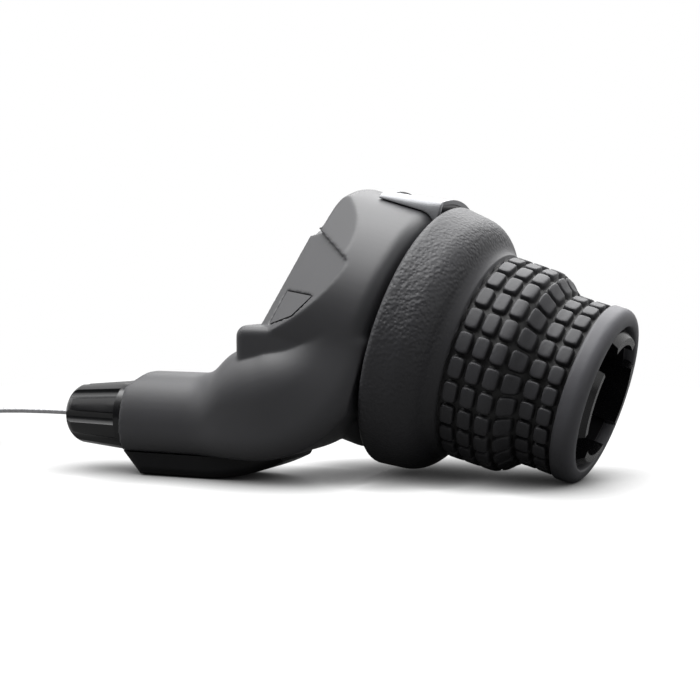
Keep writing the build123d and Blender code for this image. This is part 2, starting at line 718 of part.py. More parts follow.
# Clamp band: bent steel strip round the collar, with two ears for the clamp bolt
with BuildPart() as clamp_band:
    with BuildSketch(Plane.YZ.offset(clamp_x - BAND_WIDTH / 2)):
        Circle(band_outer_r)
        Circle(band_r, mode=Mode.SUBTRACT)
        for side in (1, -1):
            with Locations((band_r, side * (EAR_GAP + BAND_THICKNESS) / 2)):
                Rectangle(BAND_THICKNESS + EAR_LENGTH, BAND_THICKNESS, align=(Align.MIN, Align.CENTER))
        Rectangle(2 * band_outer_r, EAR_GAP, align=(Align.MIN, Align.CENTER), mode=Mode.SUBTRACT)
        Circle(band_r, mode=Mode.SUBTRACT)
    extrude(amount=BAND_WIDTH)
    with Locations((clamp_x, ear_bolt_y, 0)):
        Cylinder(CLAMP_BOLT_RADIUS + SLIP_GAP / 2, 4 * EAR_GAP, mode=Mode.SUBTRACT)
clamp_band.part.label = "clamp_band"
export_step(clamp_band.part, "parts/clamp_band.step")

# Clamp bolt: socket head cap screw driven from below
ear_face = EAR_GAP / 2 + BAND_THICKNESS
with BuildPart() as clamp_bolt:
    with Locations((clamp_x, ear_bolt_y, -ear_face)):
        Cylinder(CLAMP_BOLT_RADIUS, 2 * ear_face + NUT_HEIGHT + CLAMP_BOLT_PAST_NUT,
                 align=(Align.CENTER, Align.CENTER, Align.MIN))
        Cylinder(CLAMP_HEAD_RADIUS, CLAMP_HEAD_HEIGHT, align=(Align.CENTER, Align.CENTER, Align.MAX))
    with BuildSketch(Plane.XY.offset(-ear_face - CLAMP_HEAD_HEIGHT)):
        with Locations((clamp_x, ear_bolt_y)):
            RegularPolygon(CLAMP_HEX / 2, 6, major_radius=False)
    extrude(amount=CLAMP_HEX_DEPTH, mode=Mode.SUBTRACT)
clamp_bolt.part.label = "clamp_bolt"
export_step(clamp_bolt.part, "parts/clamp_bolt.step")

# Clamp nut: square nut on top of the upper ear
with BuildPart() as clamp_nut:
    with BuildSketch(Plane.XY.offset(ear_face)):
        with Locations((clamp_x, ear_bolt_y)):
            Rectangle(NUT_WIDTH, NUT_WIDTH)
            Circle(CLAMP_BOLT_RADIUS, mode=Mode.SUBTRACT)
    extrude(amount=NUT_HEIGHT)
clamp_nut.part.label = "clamp_nut"
export_step(clamp_nut.part, "parts/clamp_nut.step")

# Indicator bezel: silver frame that follows the raised seat
pod_arc = twist_range + 2 * POD_MARGIN
lens_arc = twist_range + 2 * LENS_MARGIN
pod_start = INDICATOR_CENTRE - pod_arc / 2
lens_start = INDICATOR_CENTRE - lens_arc / 2
bezel_outboard = -SEAM_GAP - END_PLAY
with BuildPart() as indicator_bezel:
    with BuildSketch(radial_plane(pod_start)):
        with BuildLine():
            Polyline(
                (POD_INBOARD, pod_r(POD_INBOARD)),
                (bezel_outboard, pod_r(bezel_outboard)),
                (bezel_outboard, pod_r(bezel_outboard) + BEZEL_THICKNESS),
                (POD_INBOARD, pod_r(POD_INBOARD) + BEZEL_THICKNESS),
                close=True,
            )
        make_face()
    revolve(axis=Axis.X, revolution_arc=pod_arc)
    with BuildSketch(radial_plane(lens_start)):
        with Locations((LENS_INBOARD, head_r)):
            Rectangle(LENS_OUTBOARD - LENS_INBOARD, bulb_r, align=(Align.MIN, Align.MIN))
    revolve(axis=Axis.X, revolution_arc=lens_arc, mode=Mode.SUBTRACT)
indicator_bezel.part.label = "indicator_bezel"
export_step(indicator_bezel.part, "parts/indicator_bezel.step")

# Indicator lens: clear window held in the bezel
lens_edge = degrees(RUNNING_FIT / pod_low)
lens_in = LENS_INBOARD + RUNNING_FIT
lens_out = LENS_OUTBOARD - RUNNING_FIT
lens_under = LENS_THICKNESS - LENS_PROUD
with BuildPart() as indicator_lens:
    with BuildSketch(radial_plane(lens_start + lens_edge)):
        with BuildLine():
            Polyline(
                (lens_in, pod_r(lens_in) - lens_under),
                (lens_out, pod_r(lens_out) - lens_under),
                (lens_out, pod_r(lens_out) + LENS_PROUD),
                (lens_in, pod_r(lens_in) + LENS_PROUD),
                close=True,
            )
        make_face()
    revolve(axis=Axis.X, revolution_arc=lens_arc - 2 * lens_edge)
indicator_lens.part.label = "indicator_lens"
export_step(indicator_lens.part, "parts/indicator_lens.step")

# Gear dial: thin curved strip that carries the gear numbers
with BuildPart() as gear_dial:
    with BuildSketch(radial_plane(lens_start + lens_edge)):
        with Locations((lens_in, dial_r)):
            Rectangle(DIAL_OUTBOARD - RUNNING_FIT - lens_in, DIAL_THICKNESS, align=(Align.MIN, Align.MIN))
    revolve(axis=Axis.X, revolution_arc=lens_arc - 2 * lens_edge)
gear_dial.part.label = "gear_dial"
export_step(gear_dial.part, "parts/gear_dial.step")

# Detent spring: steel leaf that bridges the chamber wall, its nose resting in a rotor notch
notch_centre_r = detent_r + NOTCH_RADIUS / 3
nose_r = NOTCH_RADIUS - SLIP_GAP
leaf_outer = chamber_r - LEAF_SETBACK
leaf_half = sqrt((chamber_r - RUNNING_FIT) ** 2 - leaf_outer ** 2)
leaf_turn = radians(DETENT_ANGLE)
leaf_plane = Plane(
    origin=(rotor_start + END_PLAY, 0, 0), x_dir=(0, cos(leaf_turn), sin(leaf_turn)), z_dir=(1, 0, 0)
)
with BuildPart() as detent_spring:
    with BuildSketch(leaf_plane):
        with Locations((0, leaf_outer)):
            Rectangle(2 * leaf_half, LEAF_THICKNESS, align=(Align.CENTER, Align.MAX))
        with Locations((0, notch_centre_r)):
            Circle(nose_r)
            Rectangle(2 * nose_r, leaf_outer - LEAF_THICKNESS / 2 - notch_centre_r,
                      align=(Align.CENTER, Align.MIN))
    extrude(amount=DETENT_WIDTH - 2 * END_PLAY)
detent_spring.part.label = "detent_spring"
export_step(detent_spring.part, "parts/detent_spring.step")

# Rotor: cable drum, detent rim, disc and the sleeve under the rubber
nipple_angle = 90 - WRAP_ANGLE - degrees((NIPPLE_LENGTH / 2 + END_PLAY) / drum_r)
nipple_y, nipple_z = on_circle(drum_r, nipple_angle)
nipple_spot = Location((GROOVE_X, nipple_y, nipple_z), (nipple_angle + 90, 0, 0))
groove_in = GROOVE_X - GROOVE_WIDTH / 2
groove_out = GROOVE_X + GROOVE_WIDTH / 2
with BuildPart() as rotor:
    with BuildSketch(Plane.XZ):
        with BuildLine():
            Polyline(
                (rotor_start, rotor_bore_r),
                (rotor_start, detent_r),
                (rotor_start + DETENT_WIDTH, detent_r),
                (rotor_start + DETENT_WIDTH, drum_rim_r),
                (groove_in, drum_rim_r),
                (groove_in, groove_floor_r),
                (groove_out, groove_floor_r),
                (groove_out, drum_rim_r),
                (0, drum_rim_r),
                (0, disc_r),
                (DISC_THICKNESS, disc_r),
                (DISC_THICKNESS, rotor_r),
                (ROTOR_END, rotor_r),
                (ROTOR_END, rotor_bore_r),
                close=True,
            )
        make_face()
    revolve(axis=Axis.X)
    notch_places = [
        (rotor_start, *on_circle(notch_centre_r, DETENT_ANGLE + k * GEAR_STEP)) for k in range(GEARS)
    ]
    with Locations(*notch_places):
        Cylinder(NOTCH_RADIUS, DETENT_WIDTH, rotation=(0, 90, 0), mode=Mode.SUBTRACT,
                 align=(Align.CENTER, Align.CENTER, Align.MIN))
    with Locations(nipple_spot):
        Cylinder(NIPPLE_DIAMETER / 2 + RUNNING_FIT, NIPPLE_LENGTH + 2 * RUNNING_FIT, mode=Mode.SUBTRACT)
rotor.part.label = "rotor"
export_step(rotor.part, "parts/rotor.step")

# Cable nipple: barrel end of the cable, seated across the drum's groove
with BuildPart() as cable_nipple:
    with Locations(nipple_spot):
        Cylinder(NIPPLE_DIAMETER / 2, NIPPLE_LENGTH)
cable_nipple.part.label = "cable_nipple"
export_step(cable_nipple.part, "parts/cable_nipple.step")

# Cable wrap: the turn of cable that lies on the drum with the cable let out
with BuildPart() as cable_wrap:
    with BuildSketch(radial_plane(90 - WRAP_ANGLE)):
        with Locations((GROOVE_X, drum_r)):
            Circle(cable_r)
    revolve(axis=Axis.X, revolution_arc=WRAP_ANGLE)
cable_wrap.part.label = "cable_wrap"
export_step(cable_wrap.part, "parts/cable_wrap.step")

# Gear pointer: bright finger on the drum's rim that shows the gear beside the dial
pointer_rest = INDICATOR_CENTRE + twist_range / 2
pointer_top = dial_r + DIAL_THICKNESS / 2
with BuildPart() as gear_pointer:
    with BuildSketch(radial_plane(pointer_rest - POINTER_ANGLE / 2)):
        with BuildLine():
            Polyline(
                (LENS_OUTBOARD - 2 * SLIP_GAP - POINTER_STEM, drum_rim_r),
                (LENS_OUTBOARD - 2 * SLIP_GAP, drum_rim_r),
                (LENS_OUTBOARD - 2 * SLIP_GAP, pointer_top),
                (DIAL_OUTBOARD + 2 * SLIP_GAP, pointer_top),
                (DIAL_OUTBOARD + 2 * SLIP_GAP, pointer_top - POINTER_THICKNESS),
                (LENS_OUTBOARD - 2 * SLIP_GAP - POINTER_STEM, pointer_top - POINTER_THICKNESS),
                close=True,
            )
        make_face()
    revolve(axis=Axis.X, revolution_arc=POINTER_ANGLE)
gear_pointer.part.label = "gear_pointer"
export_step(gear_pointer.part, "parts/gear_pointer.step")

# Rubber grip: flared flange, waist, block field and plain cuff, moulded over the rotor's sleeve
slot_angle = degrees(BLOCK_GAP / hump_r)
ring_pitch = (CUFF_START - BLOCKS_START - BLOCK_GAP) / BLOCK_COLUMNS
with BuildPart() as row_slot:
    with BuildSketch(radial_plane(-slot_angle / 2)):
        with BuildLine():
            groove_region(SLOT_DEPTH)
        make_face()
    revolve(axis=Axis.X, revolution_arc=slot_angle)
with BuildPart() as ring_grooves:
    with BuildSketch(Plane.XZ):
        with BuildLine():
            groove_region(RING_DEPTH)
        make_face()
        block_width = ring_pitch - BLOCK_GAP
        with Locations(*[(BLOCKS_START + BLOCK_GAP + k * ring_pitch, 0) for k in range(BLOCK_COLUMNS)]):
            Rectangle(block_width, 2 * bulb_r, align=(Align.MIN, Align.CENTER), mode=Mode.SUBTRACT)
    revolve(axis=Axis.X)
with BuildPart() as grip_rubber:
    with BuildSketch(Plane.XZ):
        with BuildLine():
            bulb = (BULB_ROUND, bulb_r)
            Polyline((DISC_THICKNESS, rotor_r), (DISC_THICKNESS, disc_r), (0, disc_r),
                     (0, bulb_r - BULB_ROUND))
            RadiusArc((0, bulb_r - BULB_ROUND), bulb, BULB_ROUND)
            slope = Line(bulb, (FLARE_X, bulb_r - FLARE_FALL))
            flare = TangentArc(slope @ 1, (NECK_X, neck_r), tangent=slope % 1)
            TangentArc(flare @ 1, (BLOCKS_START, waist_r), tangent=flare % 1)
            grip_line(0)
            Polyline((CUFF_START, tail_r), (CUFF_START, cuff_r),
                     (GRIP_END - CUFF_ROUND, cuff_r))
            RadiusArc((GRIP_END - CUFF_ROUND, cuff_r), (GRIP_END, cuff_r - CUFF_ROUND), CUFF_ROUND)
            Polyline((GRIP_END, cuff_r - CUFF_ROUND), (GRIP_END, grip_mouth_r), (ROTOR_END, rotor_r),
                     (DISC_THICKNESS, rotor_r))
        make_face()
    revolve(axis=Axis.X)
    add(ring_grooves.part, mode=Mode.SUBTRACT)
    add([row_slot.part.rotate(Axis.X, k * 360 / BLOCK_ROWS) for k in range(BLOCK_ROWS)], mode=Mode.SUBTRACT)
grip_rubber.part.label = "grip_rubber"
export_step(grip_rubber.part, "parts/grip_rubber.step")

# Adjuster knob: tapered, fluted cap that turns the hollow bolt
taper = atan2(KNOB_BASE_RADIUS - KNOB_SHOULDER_RADIUS, KNOB_SHOULDER - KNOB_RIM)
flute_r = KNOB_BASE_RADIUS + KNOB_FLUTE_RADIUS - KNOB_FLUTE_DEPTH
flute_start = arm_plane.location * Location((-KNOB_RIM, flute_r, 0), (0, 0, degrees(taper)))
flute_spot = flute_start * Location((0, 0, 0), (0, -90, 0))
with BuildPart() as flute:
    with Locations(flute_spot):
        Cylinder(KNOB_FLUTE_RADIUS, 2 * KNOB_LENGTH, align=(Align.CENTER, Align.CENTER, Align.MIN))
with BuildPart() as adjuster_knob:
    with BuildSketch(arm_plane):
        with BuildLine():
            Polyline(
                (KNOB_SEAT + KNOB_SKIRT, KNOB_HOLLOW_RADIUS),
                (KNOB_SEAT + KNOB_SKIRT, KNOB_SKIRT_RADIUS),
                (KNOB_SEAT, KNOB_SKIRT_RADIUS),
                (KNOB_SEAT, KNOB_BASE_RADIUS),
                (-KNOB_RIM, KNOB_BASE_RADIUS),
                (-KNOB_SHOULDER, KNOB_SHOULDER_RADIUS),
            )
            tip_edge = (-KNOB_LENGTH, KNOB_TIP_RADIUS)
            RadiusArc((-KNOB_SHOULDER, KNOB_SHOULDER_RADIUS), tip_edge, -KNOB_NOSE_ROUND)
            Polyline(
                tip_edge,
                (-KNOB_LENGTH, CASING_RADIUS),
                (-bolt_tip, CASING_RADIUS),
                (-bolt_tip, BOLT_RADIUS),
                (-KNOB_HOLLOW_END, BOLT_RADIUS),
                (-KNOB_HOLLOW_END, KNOB_HOLLOW_RADIUS),
                (KNOB_SEAT + KNOB_SKIRT, KNOB_HOLLOW_RADIUS),
            )
        make_face()
    revolve(axis=arm_axis)
    add([flute.part.rotate(arm_axis, k * 360 / KNOB_FLUTES) for k in range(KNOB_FLUTES)], mode=Mode.SUBTRACT)
adjuster_knob.part.label = "adjuster_knob"
export_step(adjuster_knob.part, "parts/adjuster_knob.step")

# Adjuster bolt: hollow screw that the cable runs through
with BuildPart() as adjuster_bolt:
    with BuildSketch(arm_plane):
        with Locations((-bolt_tip, BOLT_BORE_RADIUS)):
            Rectangle(BOLT_LENGTH, BOLT_RADIUS - BOLT_BORE_RADIUS, align=(Align.MIN, Align.MIN))
    revolve(axis=arm_axis)
adjuster_bolt.part.label = "adjuster_bolt"
export_step(adjuster_bolt.part, "parts/adjuster_bolt.step")

# Adjuster spring: keeps the knob from turning by itself; six-sided wire keeps the facets few
spring_r = (BOLT_RADIUS + KNOB_HOLLOW_RADIUS) / 2
spring_height = SOCKET_DEPTH + KNOB_HOLLOW_END - SPRING_WIRE - 2 * RUNNING_FIT
spring_base = arm_plane.from_local_coords((SOCKET_DEPTH - SPRING_WIRE / 2 - RUNNING_FIT, 0, 0))
with BuildPart() as adjuster_spring:
    with BuildLine() as coil_line:
        coil_wire = Helix(spring_height / SPRING_TURNS, spring_height, spring_r, center=spring_base,
                          direction=-arm_plane.x_dir)
    with BuildSketch(Plane(origin=coil_wire @ 0, z_dir=coil_wire % 0)):
        RegularPolygon(SPRING_WIRE / 2, SPRING_SIDES)
    sweep(path=coil_line.wires()[0], is_frenet=True)
adjuster_spring.part.label = "adjuster_spring"
export_step(adjuster_spring.part, "parts/adjuster_spring.step")

# Cable run: from the drum down the arm and out through the adjuster
with BuildPart() as cable_run:
    with BuildLine(arm_plane) as cable_path:
        lead = Line((-KNOB_LENGTH, 0), (ARM_LENGTH, 0))
        turn = CenterArc(bend_centre, BEND_RADIUS, -90, bend_turn)
        Line(turn @ 1, turn @ 1 + (turn % 1) * -BEND_TOP)
    with BuildSketch(Plane(origin=lead @ 0, z_dir=lead % 0)):
        Circle(cable_r)
    sweep(path=cable_path.wires()[0])
cable_run.part.label = "cable_run"
export_step(cable_run.part, "parts/cable_run.step")

# Table that the loose cable lies on: local x runs away from the adjuster, local z is up
table = radians(TABLE_TILT)
table_point = arm_plane.from_local_coords((COVER_FLAT_END, cover_floor, 0))
table_plane = Plane(
    origin=table_point, x_dir=(-cos(table), 0, -sin(table)), z_dir=(-sin(table), 0, cos(table))
)
tip_point = arm_plane.from_local_coords((-KNOB_LENGTH, 0, 0))
tip_out = table_plane.to_local_coords(tip_point).X
tip_high = table_plane.to_local_coords(tip_point).Z
coil_high = COIL_BUNDLE / 2 + TIE_THICKNESS + TIE_ROOM

# Cable coil: the rest of the cable, wound up and lying on the table
coil_centre = table_plane.from_local_coords((tip_out + COIL_REACH, -COIL_MEAN_RADIUS, coil_high))
coil_plane = Plane(origin=coil_centre, x_dir=table_plane.x_dir, z_dir=table_plane.z_dir)
with BuildPart() as cable_coil:
    with BuildSketch(Plane(origin=coil_centre, x_dir=coil_plane.x_dir, z_dir=(0, -1, 0))):
        with Locations((COIL_MEAN_RADIUS, 0)):
            RegularPolygon(COIL_BUNDLE / 2, COIL_SIDES)
    revolve(axis=Axis(coil_centre, coil_plane.z_dir))
cable_coil.part.label = "cable_coil"
export_step(cable_coil.part, "parts/cable_coil.step")

# Free cable: straight out of the adjuster, then down to the table and into the coil
lead_end = table_plane.to_local_coords(arm_plane.from_local_coords((-KNOB_LENGTH - LEAD_LENGTH, 0, 0)))
route = [
    (tip_out, 0, tip_high),
    (lead_end.X, 0, lead_end.Z),
    (tip_out + 31, 0, 10.4),
    (tip_out + 43, 0, 8.6),
    (tip_out + 52, 0, 7.5),
    (tip_out + COIL_REACH, 0, 7.1),
]


def bend_radius(before, corner, after):
    """Largest easy radius at a corner: 0.45 of the shorter run over the tangent of half the turn."""
    into = Vector(*corner) - Vector(*before)
    out = Vector(*after) - Vector(*corner)
    return 0.45 * min(into.length, out.length) / tan(radians(into.get_angle(out)) / 2)


with BuildPart() as cable_free:
    with BuildLine(table_plane) as free_path:
        FilletPolyline(*route, radius=[bend_radius(*route[k:k + 3]) for k in range(len(route) - 2)])
    with BuildSketch(Plane(origin=free_path.wires()[0] @ 0, z_dir=free_path.wires()[0] % 0)):
        Circle(cable_r)
    sweep(path=free_path.wires()[0])
    add(cable_coil.part, mode=Mode.SUBTRACT)
cable_free.part.label = "cable_free"
export_step(cable_free.part, "parts/cable_free.step")

# Coil tie: plain twist of soft strip round the coil
with BuildPart() as coil_tie:
    tie_spot = coil_plane.from_local_coords((COIL_MEAN_RADIUS, 0, 0))
    with BuildSketch(Plane(origin=tie_spot, x_dir=coil_plane.x_dir, z_dir=(0, 1, 0))):
        Circle(COIL_BUNDLE / 2 + TIE_ROOM + TIE_THICKNESS)
        Circle(COIL_BUNDLE / 2 + TIE_ROOM, mode=Mode.SUBTRACT)
    extrude(amount=TIE_WIDTH / 2, both=True)
coil_tie.part.label = "coil_tie"
export_step(coil_tie.part, "parts/coil_tie.step")
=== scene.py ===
import bmesh
import bpy
import numpy as np
from mathutils import Matrix, Vector


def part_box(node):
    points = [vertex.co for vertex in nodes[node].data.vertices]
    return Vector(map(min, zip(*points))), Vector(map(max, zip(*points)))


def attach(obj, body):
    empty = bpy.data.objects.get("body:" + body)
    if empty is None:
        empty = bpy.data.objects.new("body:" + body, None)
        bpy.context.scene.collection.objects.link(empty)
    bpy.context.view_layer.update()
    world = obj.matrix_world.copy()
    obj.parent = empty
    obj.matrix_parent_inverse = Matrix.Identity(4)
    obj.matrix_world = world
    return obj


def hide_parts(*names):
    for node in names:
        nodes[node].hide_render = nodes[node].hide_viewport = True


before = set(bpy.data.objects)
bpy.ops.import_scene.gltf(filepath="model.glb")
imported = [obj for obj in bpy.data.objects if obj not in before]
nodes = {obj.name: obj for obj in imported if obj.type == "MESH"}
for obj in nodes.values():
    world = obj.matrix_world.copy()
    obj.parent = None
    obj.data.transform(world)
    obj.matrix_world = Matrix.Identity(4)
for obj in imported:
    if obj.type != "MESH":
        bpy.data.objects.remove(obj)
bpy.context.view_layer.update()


# Bar sleeve: the fixed tube that the handlebar slides into, with a split collar and four snap tabs.
# Black glass-filled nylon, injection moulded, with a soft shine. Only the tabs show, at the grip's
# open end.
def linear(colour):
    """Linear colour of an sRGB hex value: each channel goes through the sRGB curve backwards."""
    c = np.array([int(colour[i:i + 2], 16) for i in (1, 3, 5)]) / 255
    return (*np.where(c > 0.04045, ((c + 0.055) / 1.055) ** 2.4, c / 12.92).tolist(), 1.0)


def add_node(tree, kind, settings={}, links={}):
    """Adds one node. Settings are its properties or the values of its inputs, and links join its
    inputs to the outputs of other nodes."""
    node = tree.nodes.new(kind)
    for name, value in settings.items():
        if isinstance(name, str) and hasattr(node, name):
            setattr(node, name, value)
        else:
            node.inputs[name].default_value = value
    for name, output in links.items():
        tree.links.new(output, node.inputs[name])
    return node


def blank_finish(name):
    """A material with no nodes yet, and its node tree."""
    material = bpy.data.materials.new(name)
    material.use_nodes = True
    material.node_tree.nodes.clear()
    return material, material.node_tree


# a Mix node's colour sockets: the two that go in, and the one that comes out
colour_a, colour_b, colour_out = 6, 7, 2


def moulded(name, colour, shade, roughness, grain_mm, relief_mm, settings={}):
    """Moulded plastic or rubber: the colour drifts to a shade over patches of patch_mm, and an
    eroded grain of grain_mm lifts the surface by relief_mm and breaks the gloss up a little. The
    grain is drawn coarser than the mould's own, so that it shows."""
    patch_mm, gloss_drift = 14, 0.06
    material, tree = blank_finish(name)
    place = add_node(tree, "ShaderNodeTexCoord").outputs["Object"]
    patches = add_node(tree, "ShaderNodeTexNoise", {"Scale": 1000 / patch_mm, "Detail": 3.0},
                       {"Vector": place})
    grain = add_node(tree, "ShaderNodeTexNoise", {"Scale": 1000 / grain_mm, "Detail": 2.0},
                     {"Vector": place})
    tint = add_node(tree, "ShaderNodeMix",
                    {"data_type": "RGBA", colour_a: linear(colour), colour_b: linear(shade)},
                    {"Factor": patches.outputs["Fac"]})
    gloss = add_node(tree, "ShaderNodeMapRange",
                     {"To Min": roughness - gloss_drift, "To Max": roughness + gloss_drift},
                     {"Value": grain.outputs["Fac"]})
    lift = add_node(tree, "ShaderNodeBump", {"Strength": 1.0, "Distance": relief_mm / 1000},
                    {"Height": grain.outputs["Fac"]})
    skin = add_node(tree, "ShaderNodeBsdfPrincipled", settings,
                    {"Base Color": tint.outputs[colour_out], "Roughness": gloss.outputs["Result"],
                     "Normal": lift.outputs["Normal"]})
    add_node(tree, "ShaderNodeOutputMaterial", {}, {"Surface": skin.outputs["BSDF"]})
    return material


def dress(material, *names):
    """Gives CAD nodes a material in place of the plain one that they came with."""
    for name in names:
        for slot in nodes[name].material_slots:
            slot.material = material


nylon = moulded("moulded_black_nylon", "#0d0d0f", "#141416", 0.26, 0.22, 0.004, {"IOR": 1.53})
dress(nylon, "bar_sleeve")


# Sleeve screws, clamp band and nut: small steel parts that fix the sleeve in the housing and on the
# bar. Zinc-plated mild steel, stamped or rolled; the plating leaves a grey sheen with fine rolling
# marks.
def plated(name, colour, shade, roughness, mark_mm):
    """Bare or plated metal: faint marks of mark_mm, drawn out along X, change the colour and the
    gloss. They are drawn coarser than real rolling marks, so that they show."""
    along_x, gloss_drift = 0.15, 0.08
    material, tree = blank_finish(name)
    place = add_node(tree, "ShaderNodeTexCoord").outputs["Object"]
    drawn = add_node(tree, "ShaderNodeMapping", {"Scale": (along_x, 1.0, 1.0)}, {"Vector": place})
    marks = add_node(tree, "ShaderNodeTexNoise", {"Scale": 1000 / mark_mm, "Detail": 3.0},
                     {"Vector": drawn.outputs["Vector"]})
    tint = add_node(tree, "ShaderNodeMix",
                    {"data_type": "RGBA", colour_a: linear(colour), colour_b: linear(shade)},
                    {"Factor": marks.outputs["Fac"]})
    gloss = add_node(tree, "ShaderNodeMapRange",
                     {"To Min": roughness - gloss_drift, "To Max": roughness + gloss_drift},
                     {"Value": marks.outputs["Fac"]})
    skin = add_node(tree, "ShaderNodeBsdfPrincipled", {"Metallic": 1.0},
                    {"Base Color": tint.outputs[colour_out], "Roughness": gloss.outputs["Result"]})
    add_node(tree, "ShaderNodeOutputMaterial", {}, {"Surface": skin.outputs["BSDF"]})
    return material


zinc = plated("zinc_plated_steel", "#a9aaab", "#8f9092", 0.36, 0.5)
dress(zinc, "sleeve_screws", "clamp_band", "clamp_nut")


# Clamp bolt: the socket head screw that draws the band's ears together, turned from below with a
# hex key. Alloy steel with a black oxide finish, which is dark grey with a soft shine.
black_oxide = plated("black_oxide_steel", "#232325", "#2e2e30", 0.42, 0.4)
dress(black_oxide, "clamp_bolt")


# Housing and port cover: the fixed body round the cable drum, with the arm that leads the cable
# out, and the snap-in plate over the cable's entry. ABS moulded in charcoal grey; its spark-eroded
# mould leaves a fine, even, satin grain.
def add_object(name, data):
    """Puts a new object with this data into the scene, at the origin."""
    made = bpy.data.objects.new(name, data)
    bpy.context.collection.objects.link(made)
    return made


def merge_points(source, target, distance):
    """Copies a mesh into another one, in which points within a distance of each other are one."""
    joined = bmesh.new()
    joined.from_mesh(source)
    bmesh.ops.remove_doubles(joined, verts=joined.verts, dist=distance)
    joined.to_mesh(target)
    joined.free()


def redrawn(name, source, cell_mm):
    """Mesh of a CAD node with its loose triangles merged and its surface drawn anew in even cells.
    The remesher's box is the longest side over scale, cut into two to the power of depth cells."""
    depth = 8
    merged = bpy.data.meshes.new(name)
    merge_points(nodes[source].data, merged, 1e-6)
    rough = add_object(name, merged)
    low, high = (np.array(corner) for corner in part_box(source))
    redraw = rough.modifiers.new("redraw", "REMESH")
    redraw.mode = "SHARP"
    redraw.octree_depth = depth
    redraw.scale = (high - low).max() / (2 ** depth * cell_mm / 1000)
    shown = rough.evaluated_get(bpy.context.evaluated_depsgraph_get())
    mesh = bpy.data.meshes.new_from_object(shown)
    bpy.data.objects.remove(rough)
    bpy.data.meshes.remove(merged)
    return mesh


def softened(name, source, cell_mm, rounds, material, blends=()):
    """Copy of a CAD node with the soft edges of a moulding: it is redrawn in cells of cell_mm, and
    each point then moves half way to the middle of its neighbours, in some rounds. A blend is a
    place, a reach and a number of further rounds, which falls off smoothly to nought there."""
    mesh = redrawn(name, source, cell_mm)
    points = np.zeros(len(mesh.vertices) * 3)
    mesh.vertices.foreach_get("co", points)
    points = points.reshape(-1, 3)
    ends = np.zeros(len(mesh.edges) * 2, np.int32)
    mesh.edges.foreach_get("vertices", ends)
    one, other = ends.reshape(-1, 2).T
    here, there = np.concatenate([one, other]), np.concatenate([other, one])
    neighbours = np.bincount(here, minlength=len(points))[:, None]
    wanted = np.full(len(points), float(rounds))
    for place_mm, reach_mm, further in blends:
        away = np.linalg.norm(points * 1000 - place_mm, axis=1)
        near = np.clip(1 - away / reach_mm, 0, 1)
        wanted = np.maximum(wanted, rounds + further * near ** 2 * (3 - 2 * near))
    for turn in range(int(wanted.max())):
        middle = np.stack([np.bincount(here, points[there, axis], len(points))
                           for axis in range(3)], axis=1) / neighbours
        points += np.clip(wanted - turn, 0, 1)[:, None] * 0.5 * (middle - points)
    mesh.vertices.foreach_set("co", points.reshape(-1))
    mesh.update()
    mesh.shade_smooth()
    mesh.materials.clear()
    mesh.materials.append(material)
    return add_object(name, mesh)


charcoal = moulded("moulded_charcoal_abs", "#333335", "#3a3a3d", 0.46, 0.18, 0.003, {"IOR": 1.53})
dress(charcoal, "port_cover")
# the rim's rounding runs out softly where the arm's band takes over from it
rim_end = ((-2.0, -25.0, -0.2), 6.0, 20)
housing_skin = softened("housing_skin", "housing", 0.5, 2, charcoal, [rim_end])
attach(housing_skin, "fixed_side")
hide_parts("housing")


# Arm cover and its screws: the lower shell that closes the cable's channel from below.
# The same plastic in black, smoother than the housing; two zinc-plated screws hold it.
black_abs = moulded("moulded_black_abs", "#0a0a0b", "#101012", 0.34, 0.25, 0.002, {"IOR": 1.3})
dress(black_abs, "arm_cover")
dress(zinc, "cover_screws")


# Gear window: a silver frame on the raised seat, with a skirt at its near side, a clear lens in it,
# and the dial with its numbers below. Frame of painted ABS, lens of smoke-grey acrylic, dial of
# white film with black print.
silver, tree = blank_finish("silver_painted_abs")
place = add_node(tree, "ShaderNodeTexCoord").outputs["Object"]
# aluminium flakes in the paint give it a faint sparkle; they are drawn at 0.3 mm so that they show
flake_mm = 0.3
flakes = add_node(tree, "ShaderNodeTexVoronoi", {"Scale": 1000 / flake_mm}, {"Vector": place})
tint = add_node(tree, "ShaderNodeMix",
                {"data_type": "RGBA", colour_a: linear("#929396"), colour_b: linear("#a0a1a4")},
                {"Factor": flakes.outputs["Color"]})
skin = add_node(tree, "ShaderNodeBsdfPrincipled", {"Metallic": 0.2, "Roughness": 0.45},
                {"Base Color": tint.outputs[colour_out]})
add_node(tree, "ShaderNodeOutputMaterial", {}, {"Surface": skin.outputs["BSDF"]})
dress(silver, "indicator_bezel")

# the frame's near side curves down over the seat to a thin dark joint with the housing; sizes in
# millimetres, angles in degrees round the bar
seat_inboard, seat_outboard, seat_angle = -14.0, -0.9, 12.0
seat_low, seat_high, frame_thickness = 25.48, 27.08, 0.9
head_end, head_radius, head_round = -0.8, 25.28, 3.9
skirt_reach, joint = 3.4, 0.3


